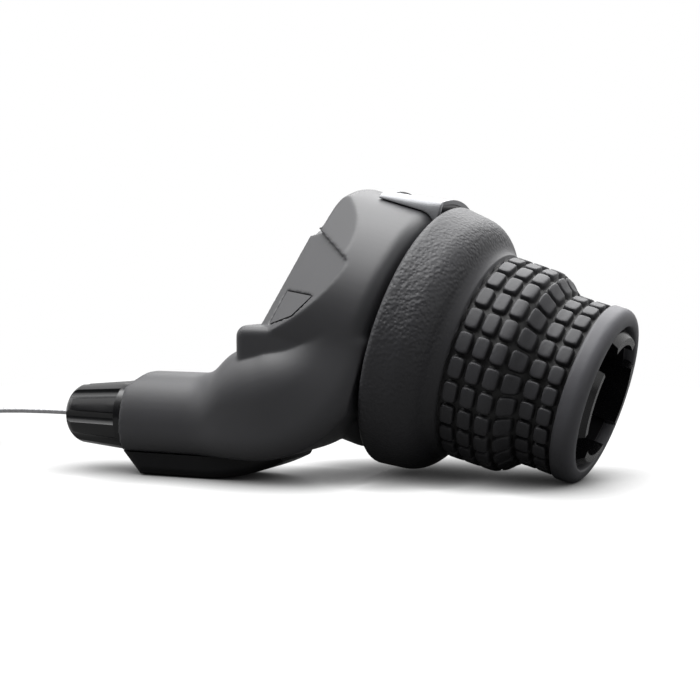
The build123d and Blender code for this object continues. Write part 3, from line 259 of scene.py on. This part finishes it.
def tube_mesh(name, points, closed_rows, material):
    """Piece from a grid of points, rows by columns by 3 in millimetres: each cell is a quad, the
    columns close on themselves, and so do the rows where closed_rows is true."""
    rows, columns = points.shape[:2]
    index = np.arange(rows * columns).reshape(rows, columns)
    if closed_rows:
        index = np.vstack([index, index[:1]])
    index = np.hstack([index, index[:, :1]])
    quads = np.stack([index[:-1, :-1], index[:-1, 1:], index[1:, 1:], index[1:, :-1]],
                     axis=-1).reshape(-1, 4)
    mesh = bpy.data.meshes.new(name)
    mesh.vertices.add(rows * columns)
    mesh.vertices.foreach_set("co", (points.reshape(-1) / 1000).astype(np.float32))
    mesh.loops.add(quads.size)
    mesh.loops.foreach_set("vertex_index", quads.reshape(-1).astype(np.int32))
    mesh.polygons.add(len(quads))
    mesh.polygons.foreach_set("loop_start", np.arange(0, quads.size, 4, dtype=np.int32))
    mesh.update(calc_edges=True)
    mesh.shade_smooth()
    mesh.materials.append(material)
    return add_object(name, mesh)


def skirt_points():
    """A quarter ellipse is carried along the bar: from the frame's top edge it goes out round the
    bar by skirt_reach and down to a joint above the housing, whose rim is a quarter circle, then
    back under the frame. The first and last rows shrink to the middle of their neighbours."""
    x = np.linspace(seat_inboard, seat_outboard, 60)[:, None]
    along = (x - seat_inboard) / (seat_outboard - seat_inboard)
    top = seat_low + (seat_high - seat_low) * along + frame_thickness
    past = np.maximum(x - head_end + head_round, 0)
    rim = np.sqrt(np.maximum(head_round ** 2 - past ** 2, 0))
    foot = head_radius - head_round + rim + joint
    turn = np.linspace(0, np.pi / 2, 14)
    inner = np.linspace(1, 0, 6)[1:]
    out = skirt_reach * np.concatenate([np.sin(turn), inner])
    angle = np.radians(seat_angle + out) + 0 * x
    radius = foot + (top - foot) * np.concatenate([np.cos(turn), 0 * inner])
    rows = np.stack([x + 0 * angle, -radius * np.sin(angle), radius * np.cos(angle)], axis=-1)
    middle = np.repeat(rows.mean(axis=1, keepdims=True), rows.shape[1], axis=1)
    return np.concatenate([middle[:1], rows, middle[-1:]])


bezel_skirt = tube_mesh("bezel_skirt", skirt_points(), False, silver)
# each end closes in one point
merge_points(bezel_skirt.data, bezel_skirt.data, 1e-7)
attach(bezel_skirt, "fixed_side")

# acrylic is clear and glossy; a faint haze of 3 mm patches changes its polish, and the alpha lets
# the lamps light the dial
smoke, tree = blank_finish("smoke_acrylic")
haze_mm = 3
place = add_node(tree, "ShaderNodeTexCoord").outputs["Object"]
haze = add_node(tree, "ShaderNodeTexNoise", {"Scale": 1000 / haze_mm, "Detail": 4.0},
                {"Vector": place})
gloss = add_node(tree, "ShaderNodeMapRange", {"To Min": 0.02, "To Max": 0.06},
                 {"Value": haze.outputs["Fac"]})
skin = add_node(tree, "ShaderNodeBsdfPrincipled",
                {"Base Color": linear("#d2d4d8"), "Transmission Weight": 1.0, "IOR": 1.49,
                 "Alpha": 0.4},
                {"Roughness": gloss.outputs["Result"]})
add_node(tree, "ShaderNodeOutputMaterial", {}, {"Surface": skin.outputs["BSDF"]})
dress(smoke, "indicator_lens")

film = moulded("printed_white_film", "#e4e4e0", "#dadad6", 0.5, 0.5, 0.001)
dress(film, "gear_dial")

# the print: a figure for each gear, in the font's own shape a little bolder, just above the film
dial_radius, dial_middle = 24.616, -9.5
gears, first_angle, gear_step = 7, 4.0, 10.0
number_height, height_of_size, bolder, ink_lift = 2.7, 0.7, 0.07, 0.06
ink = moulded("black_screen_ink", "#101012", "#181819", 0.55, 0.3, 0.002)
figures = bmesh.new()
for gear in range(gears, 0, -1):
    text = bpy.data.curves.new("gear_number", "FONT")
    text.body = str(gear)
    text.align_x = "CENTER"
    text.size = number_height / height_of_size
    text.offset = bolder
    flat = bpy.data.meshes.new_from_object(bpy.data.objects.new("gear_number", text))
    spots = np.zeros(len(flat.vertices) * 3)
    flat.vertices.foreach_get("co", spots)
    across, upward, _ = spots.reshape(-1, 3).T
    # the flat figure is rolled on to the dial: its width runs back along the bar and its height
    # round the bar to the top, so that it stands upright for the rider
    turn = np.radians(first_angle - gear_step * (gears - gear))
    turn = turn + (upward - number_height / 2) / dial_radius
    radius = dial_radius + ink_lift
    rolled = np.stack([dial_middle - across, -radius * np.sin(turn), radius * np.cos(turn)], axis=1)
    flat.vertices.foreach_set("co", rolled.reshape(-1) / 1000)
    figures.from_mesh(flat)
    bpy.data.meshes.remove(flat)
    bpy.data.curves.remove(text)
numbers_mesh = bpy.data.meshes.new("dial_numbers")
figures.to_mesh(numbers_mesh)
figures.free()
numbers_mesh.shade_flat()
numbers_mesh.materials.append(ink)
dial_numbers = add_object("dial_numbers", numbers_mesh)
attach(dial_numbers, "fixed_side")


# Rotor, detent spring and pointer: the turning drum that winds the cable, with its click spring.
# Drum of black acetal and pointer of orange, both moulded and smooth; blued spring leaf; the
# cable's barrel end is cast in zinc.
acetal = moulded("moulded_black_acetal", "#17171a", "#1e1e20", 0.35, 0.3, 0.002, {"IOR": 1.48})
dress(acetal, "rotor")
spring_steel = plated("blued_spring_steel", "#77777b", "#66666a", 0.30, 0.4)
dress(spring_steel, "detent_spring", "adjuster_spring")
cast_zinc = plated("die_cast_zinc", "#9b9c9e", "#86878a", 0.45, 0.6)
dress(cast_zinc, "cable_nipple")
orange = moulded("moulded_orange_acetal", "#d9480f", "#e2540f", 0.35, 0.3, 0.002, {"IOR": 1.48})
dress(orange, "gear_pointer")


# Rubber grip: the soft sleeve that the hand turns, moulded over the rotor, with a field of raised
# blocks. Thermoplastic rubber, matt dark grey; the flange has a pebbled skin, the blocks and the
# cuff a plain one.
def tangent_arc(start, heading, end, count):
    """Points of the circle that leaves start along heading and passes through end, and the heading
    there. Its radius is half the squared chord over the chord's part across the heading."""
    start, end = np.array(start), np.array(end)
    along = np.array(heading) / np.hypot(*heading)
    across = np.array([-along[1], along[0]])
    chord = end - start
    radius = chord @ chord / (2 * chord @ across)
    sweep = 2 * np.arctan2(chord @ across, chord @ along)
    turn = np.linspace(0, sweep, count)[:, None]
    points = start + radius * (np.sin(turn) * along + (1 - np.cos(turn)) * across)
    return points, np.cos(sweep) * along + np.sin(sweep) * across


# sizes in millimetres: a point of the outline is its place on the bar and its radius
bulb_round, bulb_top = 1.2, (1.2, 27.0)
flare_start, neck_start = (6.0, 26.3), (10.9, 22.95)
field_start, field_end = 13.6, 35.7
waist, hump, tail = 20.8, 20.55, 17.25
step_start, step_end = 22.7, 29.8
cuff_radius, cuff_round, grip_end = 17.6, 2.0, 39.9
bore_radius, disc_thickness, disc_radius = 14.25, 2.0, 23.48
columns_of_blocks, rows_of_blocks = 6, 26
gap, groove_depth, corner = 0.95, 1.1, 0.7
edge_round, edge_squash, edge_fall, wall_width = 0.3, 0.7, 0.15, 0.16
pitch = (field_end - field_start - gap) / columns_of_blocks
row_angle = 2 * np.pi / rows_of_blocks


def field_radius(x):
    """Radius of the block field: a slow cone, two equal arcs down to the tail, then a cylinder."""
    run, fall = (step_end - step_start) / 2, (hump - tail) / 2
    r = (run ** 2 + fall ** 2) / (2 * fall)
    cone = waist + (hump - waist) * (x - field_start) / (step_start - field_start)
    first = hump - r + np.sqrt(np.maximum(r ** 2 - (x - step_start) ** 2, 0))
    second = tail + r - np.sqrt(np.maximum(r ** 2 - (x - step_end) ** 2, 0))
    stepped = np.where(x < step_start + run, first, np.where(x < step_end, second, tail))
    return np.where(x < step_start, cone, stepped)


def block_height(x, angle, radius):
    """Height below the block tops, from the distance to the nearest rounded rectangle, which is
    nought on its edge: the top's rim is a flattened quarter circle inside it, stopped just before
    it stands upright, and outside it a straight wall falls to the groove's floor."""
    upright = 0.9
    beside = np.abs((x - field_start - gap / 2) / pitch % 1 - 0.5) * pitch
    around = np.abs(angle / row_angle % 1 - 0.5) * row_angle * radius
    half_long = (pitch - gap) / 2
    half_wide = (row_angle * hump - gap) / 2 * radius / hump
    qx, qy = beside - half_long + corner, around - half_wide + corner
    outside = np.hypot(np.maximum(qx, 0), np.maximum(qy, 0))
    away = outside + np.minimum(np.maximum(qx, qy), 0) - corner
    rim = np.clip((away + edge_round) / edge_round, 0, 1)
    wall = np.clip(away / wall_width, 0, 1)
    rounded = edge_round * (1 - np.sqrt(1 - upright * rim ** 2)) * edge_squash
    return -rounded - (groove_depth - edge_fall) * wall


# lines of the grid on one block: their distances from the middle of the groove, closest at its wall
lines = np.array([0, 0.25, 0.4, 0.475, 0.53, 0.62, 0.8, 1.2])
long_lines = np.concatenate([lines, [pitch / 2], pitch - lines[:0:-1]])
row_pitch = row_angle * hump
wide_lines = np.concatenate([lines, [row_pitch / 2], row_pitch - lines[:0:-1]])
first_lines = field_start + gap / 2 + pitch * np.arange(columns_of_blocks)[:, None]
margin = np.array([0.05, 0.2])
field_x = np.concatenate([field_start + margin, (first_lines + long_lines).reshape(-1),
                          [field_end - gap / 2], field_end - margin[::-1]])
grip_angle = ((row_pitch * np.arange(rows_of_blocks)[:, None] + wide_lines) / hump).reshape(-1)

# the outline: bulb, slope, flare and neck of the flange, then the field, then the cuff and the bore
bulb_turn = np.linspace(0, np.pi / 2, 7)
bulb_sweep = np.stack([-np.cos(bulb_turn), np.sin(bulb_turn) - 1], axis=1)
bulb = np.array(bulb_top) + bulb_round * bulb_sweep
slope = np.linspace(bulb_top, flare_start, 8)[1:]
flare, flare_heading = tangent_arc(flare_start, np.subtract(flare_start, bulb_top), neck_start, 16)
neck, _ = tangent_arc(neck_start, flare_heading, (field_start, waist), 10)
before = np.concatenate([bulb, slope, flare[1:], neck[1:], [[field_start, waist - groove_depth]]])
cuff_turn = np.linspace(0, np.pi / 2, 8)
cuff_step = [[field_end, tail - groove_depth], [field_end, cuff_radius - 0.3],
             [field_end + 0.1, cuff_radius - 0.1], [field_end + 0.3, cuff_radius]]
cuff_flat = np.linspace([field_end + 0.8, cuff_radius],
                        [grip_end - cuff_round - 0.3, cuff_radius], 4)
cuff_edge = np.array([grip_end - cuff_round, cuff_radius - cuff_round]) + cuff_round * np.stack(
    [np.sin(cuff_turn), np.cos(cuff_turn)], axis=1)
mouth = [[grip_end, 14.9], [grip_end - 0.1, 14.6], [grip_end - 0.3, 14.48], [38.2, bore_radius]]
lap = [[disc_thickness, bore_radius], [disc_thickness, disc_radius], [0.0, disc_radius]]
outline = np.concatenate([before, np.stack([field_x, field_radius(field_x)], axis=1),
                          cuff_step, cuff_flat, cuff_edge, mouth, lap])

grid_x, grid_angle = np.meshgrid(outline[:, 0], grip_angle, indexing="ij")
grid_radius = np.repeat(outline[:, 1:], len(grip_angle), axis=1)
in_field = slice(len(before), len(before) + len(field_x))
relief = block_height(grid_x[in_field], grid_angle[in_field], grid_radius[in_field])
grid_radius[in_field] += relief
# tread is 1 on the block tops and falls to 0 on the groove floor; it masks the painted groove shade
tread = np.ones(grid_x.shape)
tread[in_field] = np.clip(1 + relief / groove_depth, 0, 1)
grip_points = np.stack([grid_x, -grid_radius * np.sin(grid_angle),
                        grid_radius * np.cos(grid_angle)], axis=-1)

rubber, tree = blank_finish("moulded_grip_rubber")
place = add_node(tree, "ShaderNodeTexCoord").outputs["Object"]
along = add_node(tree, "ShaderNodeSeparateXYZ", {}, {"Vector": place})
# the pebbled skin fades out where the neck turns in to the blocks, and is patchy from use
pebble_mm, pebble_lift_mm, patch_mm = 0.65, 0.2, 9
fade_start, fade_end, left_on_blocks = 10.5, 12.5, 0.12
flange = add_node(tree, "ShaderNodeMapRange",
                  {"From Min": fade_end / 1000, "From Max": fade_start / 1000,
                   "To Min": left_on_blocks, "To Max": 1.0},
                  {"Value": along.outputs["X"]})
pebbles = add_node(tree, "ShaderNodeTexVoronoi",
                   {"feature": "SMOOTH_F1", "Scale": 1000 / pebble_mm}, {"Vector": place})
patches = add_node(tree, "ShaderNodeTexNoise", {"Scale": 1000 / patch_mm, "Detail": 3.0},
                   {"Vector": place})
worn = add_node(tree, "ShaderNodeMapRange",
                {"From Min": 0.35, "From Max": 0.65, "To Min": 0.45, "To Max": 1.0},
                {"Value": patches.outputs["Fac"]})
amount = add_node(tree, "ShaderNodeMath", {"operation": "MULTIPLY"},
                  {0: flange.outputs["Result"], 1: worn.outputs["Result"]})
height = add_node(tree, "ShaderNodeMath", {"operation": "MULTIPLY"},
                  {0: pebbles.outputs["Distance"], 1: amount.outputs["Value"]})
lift = add_node(tree, "ShaderNodeBump", {"Strength": 1.0, "Distance": pebble_lift_mm / 1000},
                {"Height": height.outputs["Value"]})
tint = add_node(tree, "ShaderNodeMix",
                {"data_type": "RGBA", colour_a: linear("#2d2d30"), colour_b: linear("#353538")},
                {"Factor": patches.outputs["Fac"]})
# painted sheen: the cuff is painted a lighter grey; painted shade: the grooves are painted
# near-black
cuff_sheen_start, cuff_sheen_full = 35.5, 36.5
painted_cuff_sheen = add_node(tree, "ShaderNodeMapRange",
                     {"From Min": cuff_sheen_start / 1000, "From Max": cuff_sheen_full / 1000},
                     {"Value": along.outputs["X"]})
# painted sheen: from 35.5 mm on, the cuff's colour goes to a lighter grey
tint = add_node(tree, "ShaderNodeMix", {"data_type": "RGBA", colour_b: linear("#525256")},
                {"Factor": painted_cuff_sheen.outputs["Result"], colour_a: tint.outputs[colour_out]})
# painted shade: the tread height takes the colour to near-black down in the grooves
groove_shade_mask = add_node(tree, "ShaderNodeAttribute", {"attribute_name": "tread"})
tint = add_node(tree, "ShaderNodeMix", {"data_type": "RGBA", colour_a: linear("#0a0a0b")},
                {"Factor": groove_shade_mask.outputs["Fac"], colour_b: tint.outputs[colour_out]})
gloss = add_node(tree, "ShaderNodeMapRange", {"To Min": 0.48, "To Max": 0.6},
                 {"Value": patches.outputs["Fac"]})
skin = add_node(tree, "ShaderNodeBsdfPrincipled", {"IOR": 1.5},
                {"Base Color": tint.outputs[colour_out], "Roughness": gloss.outputs["Result"],
                 "Normal": lift.outputs["Normal"]})
add_node(tree, "ShaderNodeOutputMaterial", {}, {"Surface": skin.outputs["BSDF"]})
grip_skin = tube_mesh("grip_skin", grip_points, True, rubber)
tread_values = grip_skin.data.attributes.new("tread", "FLOAT", "POINT").data
tread_values.foreach_set("value", tread.reshape(-1))
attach(grip_skin, "turning_grip")
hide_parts("grip_rubber")


# Barrel adjuster: the fluted cap and hollow bolt that trim the cable's length, turned between two
# fingers. Cap of black acetal, polished smooth; bolt of zinc-plated steel.
gloss_black = moulded("polished_black_acetal", "#0d0d0f", "#131315", 0.2, 2.0, 0.0005,
                      {"IOR": 1.48})
dress(gloss_black, "adjuster_knob")
dress(zinc, "adjuster_bolt")


# Cable: the stranded inner wire, from the drum through the arm and out, with its spare length
# coiled and tied. Galvanised steel, nineteen wires laid in a spiral; the outside looks like a
# finely twisted rod.
stranded, tree = blank_finish("stranded_steel_cable")
# the wires lie 0.5 mm apart; the wave's bands come out about 2 mm apart, so that they show
wire_mm, strand_lift_mm = 0.5, 0.04
place = add_node(tree, "ShaderNodeTexCoord").outputs["Object"]
strands = add_node(tree, "ShaderNodeTexWave",
                   {"Scale": 1000 / wire_mm / (2 * np.pi), "bands_direction": "DIAGONAL"},
                   {"Vector": place})
tint = add_node(tree, "ShaderNodeMix",
                {"data_type": "RGBA", colour_a: linear("#b0b0b2"), colour_b: linear("#bababc")},
                {"Factor": strands.outputs["Fac"]})
lift = add_node(tree, "ShaderNodeBump", {"Strength": 0.2, "Distance": strand_lift_mm / 1000},
                {"Height": strands.outputs["Fac"]})
skin = add_node(tree, "ShaderNodeBsdfPrincipled", {"Metallic": 1.0, "Roughness": 0.48},
                {"Base Color": tint.outputs[colour_out], "Normal": lift.outputs["Normal"]})
add_node(tree, "ShaderNodeOutputMaterial", {}, {"Surface": skin.outputs["BSDF"]})
dress(stranded, "cable_run", "cable_wrap")

# the arm bends away from the drum and ends in the adjuster; its end is where the knob starts
exit_tilt = np.radians(16.7)
bend_x, bend_top, bend_radius, arm_length = -25.5, -4.6, 20.0, 31.3
pull_per_gear, knob_length = 2.9, 16.1
drum_radius = pull_per_gear / np.radians(gear_step)
arm_along = np.array([np.cos(exit_tilt), 0, np.sin(exit_tilt)])
arm_up = np.array([-np.sin(exit_tilt), 0, np.cos(exit_tilt)])
arm_end = np.array([bend_x, -drum_radius, bend_top]) - bend_radius * arm_up - arm_length * arm_along
tip = arm_end - knob_length * arm_along

# the table that the shifter lies on: its origin under the flat of the arm's cover, x away past the
# adjuster, y towards the viewer
table_tilt, cover_flat_end, cover_depth = np.radians(17.2), 18.0, 11.3
table_x = np.array([-np.cos(table_tilt), 0, -np.sin(table_tilt)])
table_y = np.array([0, -1, 0])
table_z = np.array([-np.sin(table_tilt), 0, np.cos(table_tilt)])
table_origin = arm_end + cover_flat_end * arm_along - cover_depth * arm_up


def on_table(points):
    """Points given along, across and above the table, in the frame of the CAD."""
    points = np.asarray(points, float)
    return (table_origin + points[..., :1] * table_x + points[..., 1:2] * table_y
            + points[..., 2:] * table_z)


# the route: a straight lead out of the knob, then down to the top of the coil
lead_length = 17.0
way_down = np.array([[31.0, 0, 10.4], [43.0, 0, 8.6], [52.0, 0, 7.8]])
tip_out = (tip - table_origin) @ table_x
route = np.concatenate([[tip, tip - lead_length * arm_along], on_table(way_down + [tip_out, 0, 0])])

# the coil: turns a cable apart in flat layers, one on top where the cable comes in and the rest
# below it; the spline runs a little inside its points, so these lie further out
layers = [1, 4, 5, 6, 5, 3]
turn_gap, points_per_turn = 1.25, 14
coil_reach, coil_height, coil_mean_radius, inside = 58.0, 4.9, 12.0, 0.975
layer_of = np.repeat(np.arange(len(layers)), layers)
place_in = np.concatenate([np.arange(n)[::(1 if k % 2 else -1)] - (n - 1) / 2
                           for k, n in enumerate(layers)])
cell_out = place_in * turn_gap
cell_up = ((len(layers) - 1) / 2 - layer_of) * turn_gap
step = np.arange(len(layer_of) * points_per_turn)
turn_number = step // points_per_turn
share = step % points_per_turn / points_per_turn
following = np.minimum(turn_number + 1, len(layer_of) - 1)
same_layer = layer_of[following] == layer_of[turn_number]
# the shares of a turn at which the cable starts over to the next place in its layer or to the next
# layer, and the share that this takes
over_from, down_from, change = 0.62, 0.2, 0.3
ease_out = np.clip((share - np.where(same_layer, over_from, down_from)) / change, 0, 1)
ease_up = np.clip((share - down_from) / change, 0, 1)
out = cell_out[turn_number] + (cell_out[following] - cell_out[turn_number]) * ease_out
up = cell_up[turn_number] + (cell_up[following] - cell_up[turn_number]) * ease_up
coil_turn = 2 * np.pi * step / points_per_turn
coil_radius = coil_mean_radius / inside + out
coil_points = on_table(np.stack([tip_out + coil_reach + coil_radius * np.sin(coil_turn),
                                 -coil_mean_radius + coil_radius * np.cos(coil_turn),
                                 coil_height + up], axis=1))

cable_points = np.concatenate([route, coil_points]) / 1000
cable_curve = bpy.data.curves.new("free_cable", "CURVE")
cable_curve.dimensions = "3D"
line = cable_curve.splines.new("NURBS")
line.points.add(len(cable_points) - 1)
weights = np.ones((len(cable_points), 1))
line.points.foreach_set("co", np.hstack([cable_points, weights]).reshape(-1))
line.order_u = 3
line.use_endpoint_u = True
line.resolution_u = 4
cable_curve.bevel_depth = 0.0006
cable_curve.bevel_resolution = 3
cable_curve.use_fill_caps = True
cable_curve.materials.append(stranded)
free_cable = add_object("free_cable", cable_curve)
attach(free_cable, "fixed_side")
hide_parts("cable_free", "cable_coil")
dress(nylon, "coil_tie")


# Studio: a plain white table, four soft boxes, strongest overhead and at the back, and the camera.
# The table shines white to the eye, to polished parts and through the lens, and keeps the object's
# shadow.
table_half = 200.0
middle = np.array([-20.0, -15.0, 0.0])
corners = np.array([[1, 1, 0], [-1, 1, 0], [-1, -1, 0], [1, -1, 0]])
floor_points = on_table(middle + corners * table_half) / 1000
floor_mesh = bpy.data.meshes.new("table")
floor_mesh.from_pydata(floor_points.tolist(), [], [[0, 1, 2, 3]])
floor = add_object("table", floor_mesh)
paper, tree = blank_finish("white_paper")
white = (1.0, 1.0, 1.0, 1.0)
shine_in_gloss, paper_shine = 0.15, 0.91
path = add_node(tree, "ShaderNodeLightPath")
in_gloss = add_node(tree, "ShaderNodeMath", {"operation": "MULTIPLY", 1: shine_in_gloss},
                    {0: path.outputs["Is Glossy Ray"]})
seen = add_node(tree, "ShaderNodeMath", {"operation": "MAXIMUM"},
                {0: path.outputs["Is Camera Ray"], 1: in_gloss.outputs["Value"]})
seen = add_node(tree, "ShaderNodeMath", {"operation": "MAXIMUM"},
                {0: seen.outputs["Value"], 1: path.outputs["Is Transmission Ray"]})
# the paper's glow darkens close under the object, where the soft boxes can't reach it: a painted
# contact shadow
under_reach, under_power = 0.011, 1.6
open_sky = add_node(tree, "ShaderNodeAmbientOcclusion", {"samples": 16, "Distance": under_reach})
deep = add_node(tree, "ShaderNodeMath", {"operation": "POWER", 1: under_power},
                {0: open_sky.outputs["AO"]})
glow = add_node(tree, "ShaderNodeMath", {"operation": "MULTIPLY"},
                {0: seen.outputs["Value"], 1: deep.outputs["Value"]})
glow = add_node(tree, "ShaderNodeMath", {"operation": "MULTIPLY", 1: paper_shine},
                {0: glow.outputs["Value"]})
matt = add_node(tree, "ShaderNodeBsdfDiffuse", {"Color": linear("#565656")})
shine = add_node(tree, "ShaderNodeEmission", {"Color": white}, {"Strength": glow.outputs["Value"]})
both = add_node(tree, "ShaderNodeAddShader", {},
                {0: matt.outputs["BSDF"], 1: shine.outputs["Emission"]})
add_node(tree, "ShaderNodeOutputMaterial", {}, {"Surface": both.outputs["Shader"]})
floor_mesh.materials.append(paper)

# the white backdrop stands behind the table, and the room on the viewer's side is dim; it lights
# the object much less than it shows in polished parts
to_backdrop, room_level, light_share = (-0.35, 0.85, 0.4), 0.06, 0.2
world = bpy.data.worlds.new("studio")
bpy.context.scene.world = world
world.use_nodes = True
tree = world.node_tree
tree.nodes.clear()
path = add_node(tree, "ShaderNodeLightPath")
seen = add_node(tree, "ShaderNodeMath", {"operation": "MAXIMUM"},
                {0: path.outputs["Is Camera Ray"], 1: path.outputs["Is Transmission Ray"]})
direction = add_node(tree, "ShaderNodeTexCoord").outputs["Generated"]
facing = add_node(tree, "ShaderNodeVectorMath", {"operation": "DOT_PRODUCT", 1: to_backdrop},
                  {0: direction})
backdrop = add_node(tree, "ShaderNodeMapRange",
                    {"interpolation_type": "SMOOTHSTEP", "From Min": -0.5, "From Max": 0.7,
                     "To Min": room_level, "To Max": 1.0},
                    {"Value": facing.outputs["Value"]})
dimmed = add_node(tree, "ShaderNodeMapRange", {"To Min": light_share, "To Max": 1.0},
                  {"Value": path.outputs["Is Glossy Ray"]})
around = add_node(tree, "ShaderNodeMath", {"operation": "MULTIPLY"},
                  {0: backdrop.outputs["Result"], 1: dimmed.outputs["Result"]})
level = add_node(tree, "ShaderNodeMath", {"operation": "MAXIMUM"},
                 {0: seen.outputs["Value"], 1: around.outputs["Value"]})
sky = add_node(tree, "ShaderNodeBackground", {"Color": white}, {"Strength": level.outputs["Value"]})
add_node(tree, "ShaderNodeOutputWorld", {}, {"Surface": sky.outputs["Background"]})


def soft_box(name, place_mm, aim_mm, size_m, watts):
    """Square area lamp at a place, turned to an aim, both along, across and above the table."""
    lamp = bpy.data.lights.new(name, "AREA")
    lamp.size = size_m
    lamp.energy = watts
    stand = add_object(name, lamp)
    spot, aim = Vector(on_table(place_mm) / 1000), Vector(on_table(aim_mm) / 1000)
    turned = (aim - spot).to_track_quat("-Z", "Y").to_matrix().to_4x4()
    stand.matrix_world = Matrix.Translation(spot) @ turned


on_part, on_grip_end = (-30, -15, 15), (-60, -15, 15)
soft_box("overhead_box", (80, 115, 510), on_part, 0.5, 4.5)
soft_box("back_box", (0, -280, 420), on_part, 0.5, 3.2)
soft_box("left_box", (420, 120, 330), on_part, 0.35, 0.5)
soft_box("right_box", (-400, 120, 160), on_grip_end, 0.3, 0.25)

camera = bpy.data.cameras.new("camera")
camera.lens = 72
camera.sensor_width = 36
viewer = add_object("camera", camera)
eye, target = Vector((0.099666, -0.261357, 0.04675)), Vector((-0.0145, 0.0, -0.00785))
upright = Vector((-0.282, 0.0, 0.960))
back = (eye - target).normalized()
right = upright.cross(back).normalized()
turned = Matrix((right, back.cross(right), back)).transposed().to_4x4()
viewer.matrix_world = Matrix.Translation(eye) @ turned
bpy.context.scene.camera = viewer
bpy.context.scene.view_settings.view_transform = "Standard"
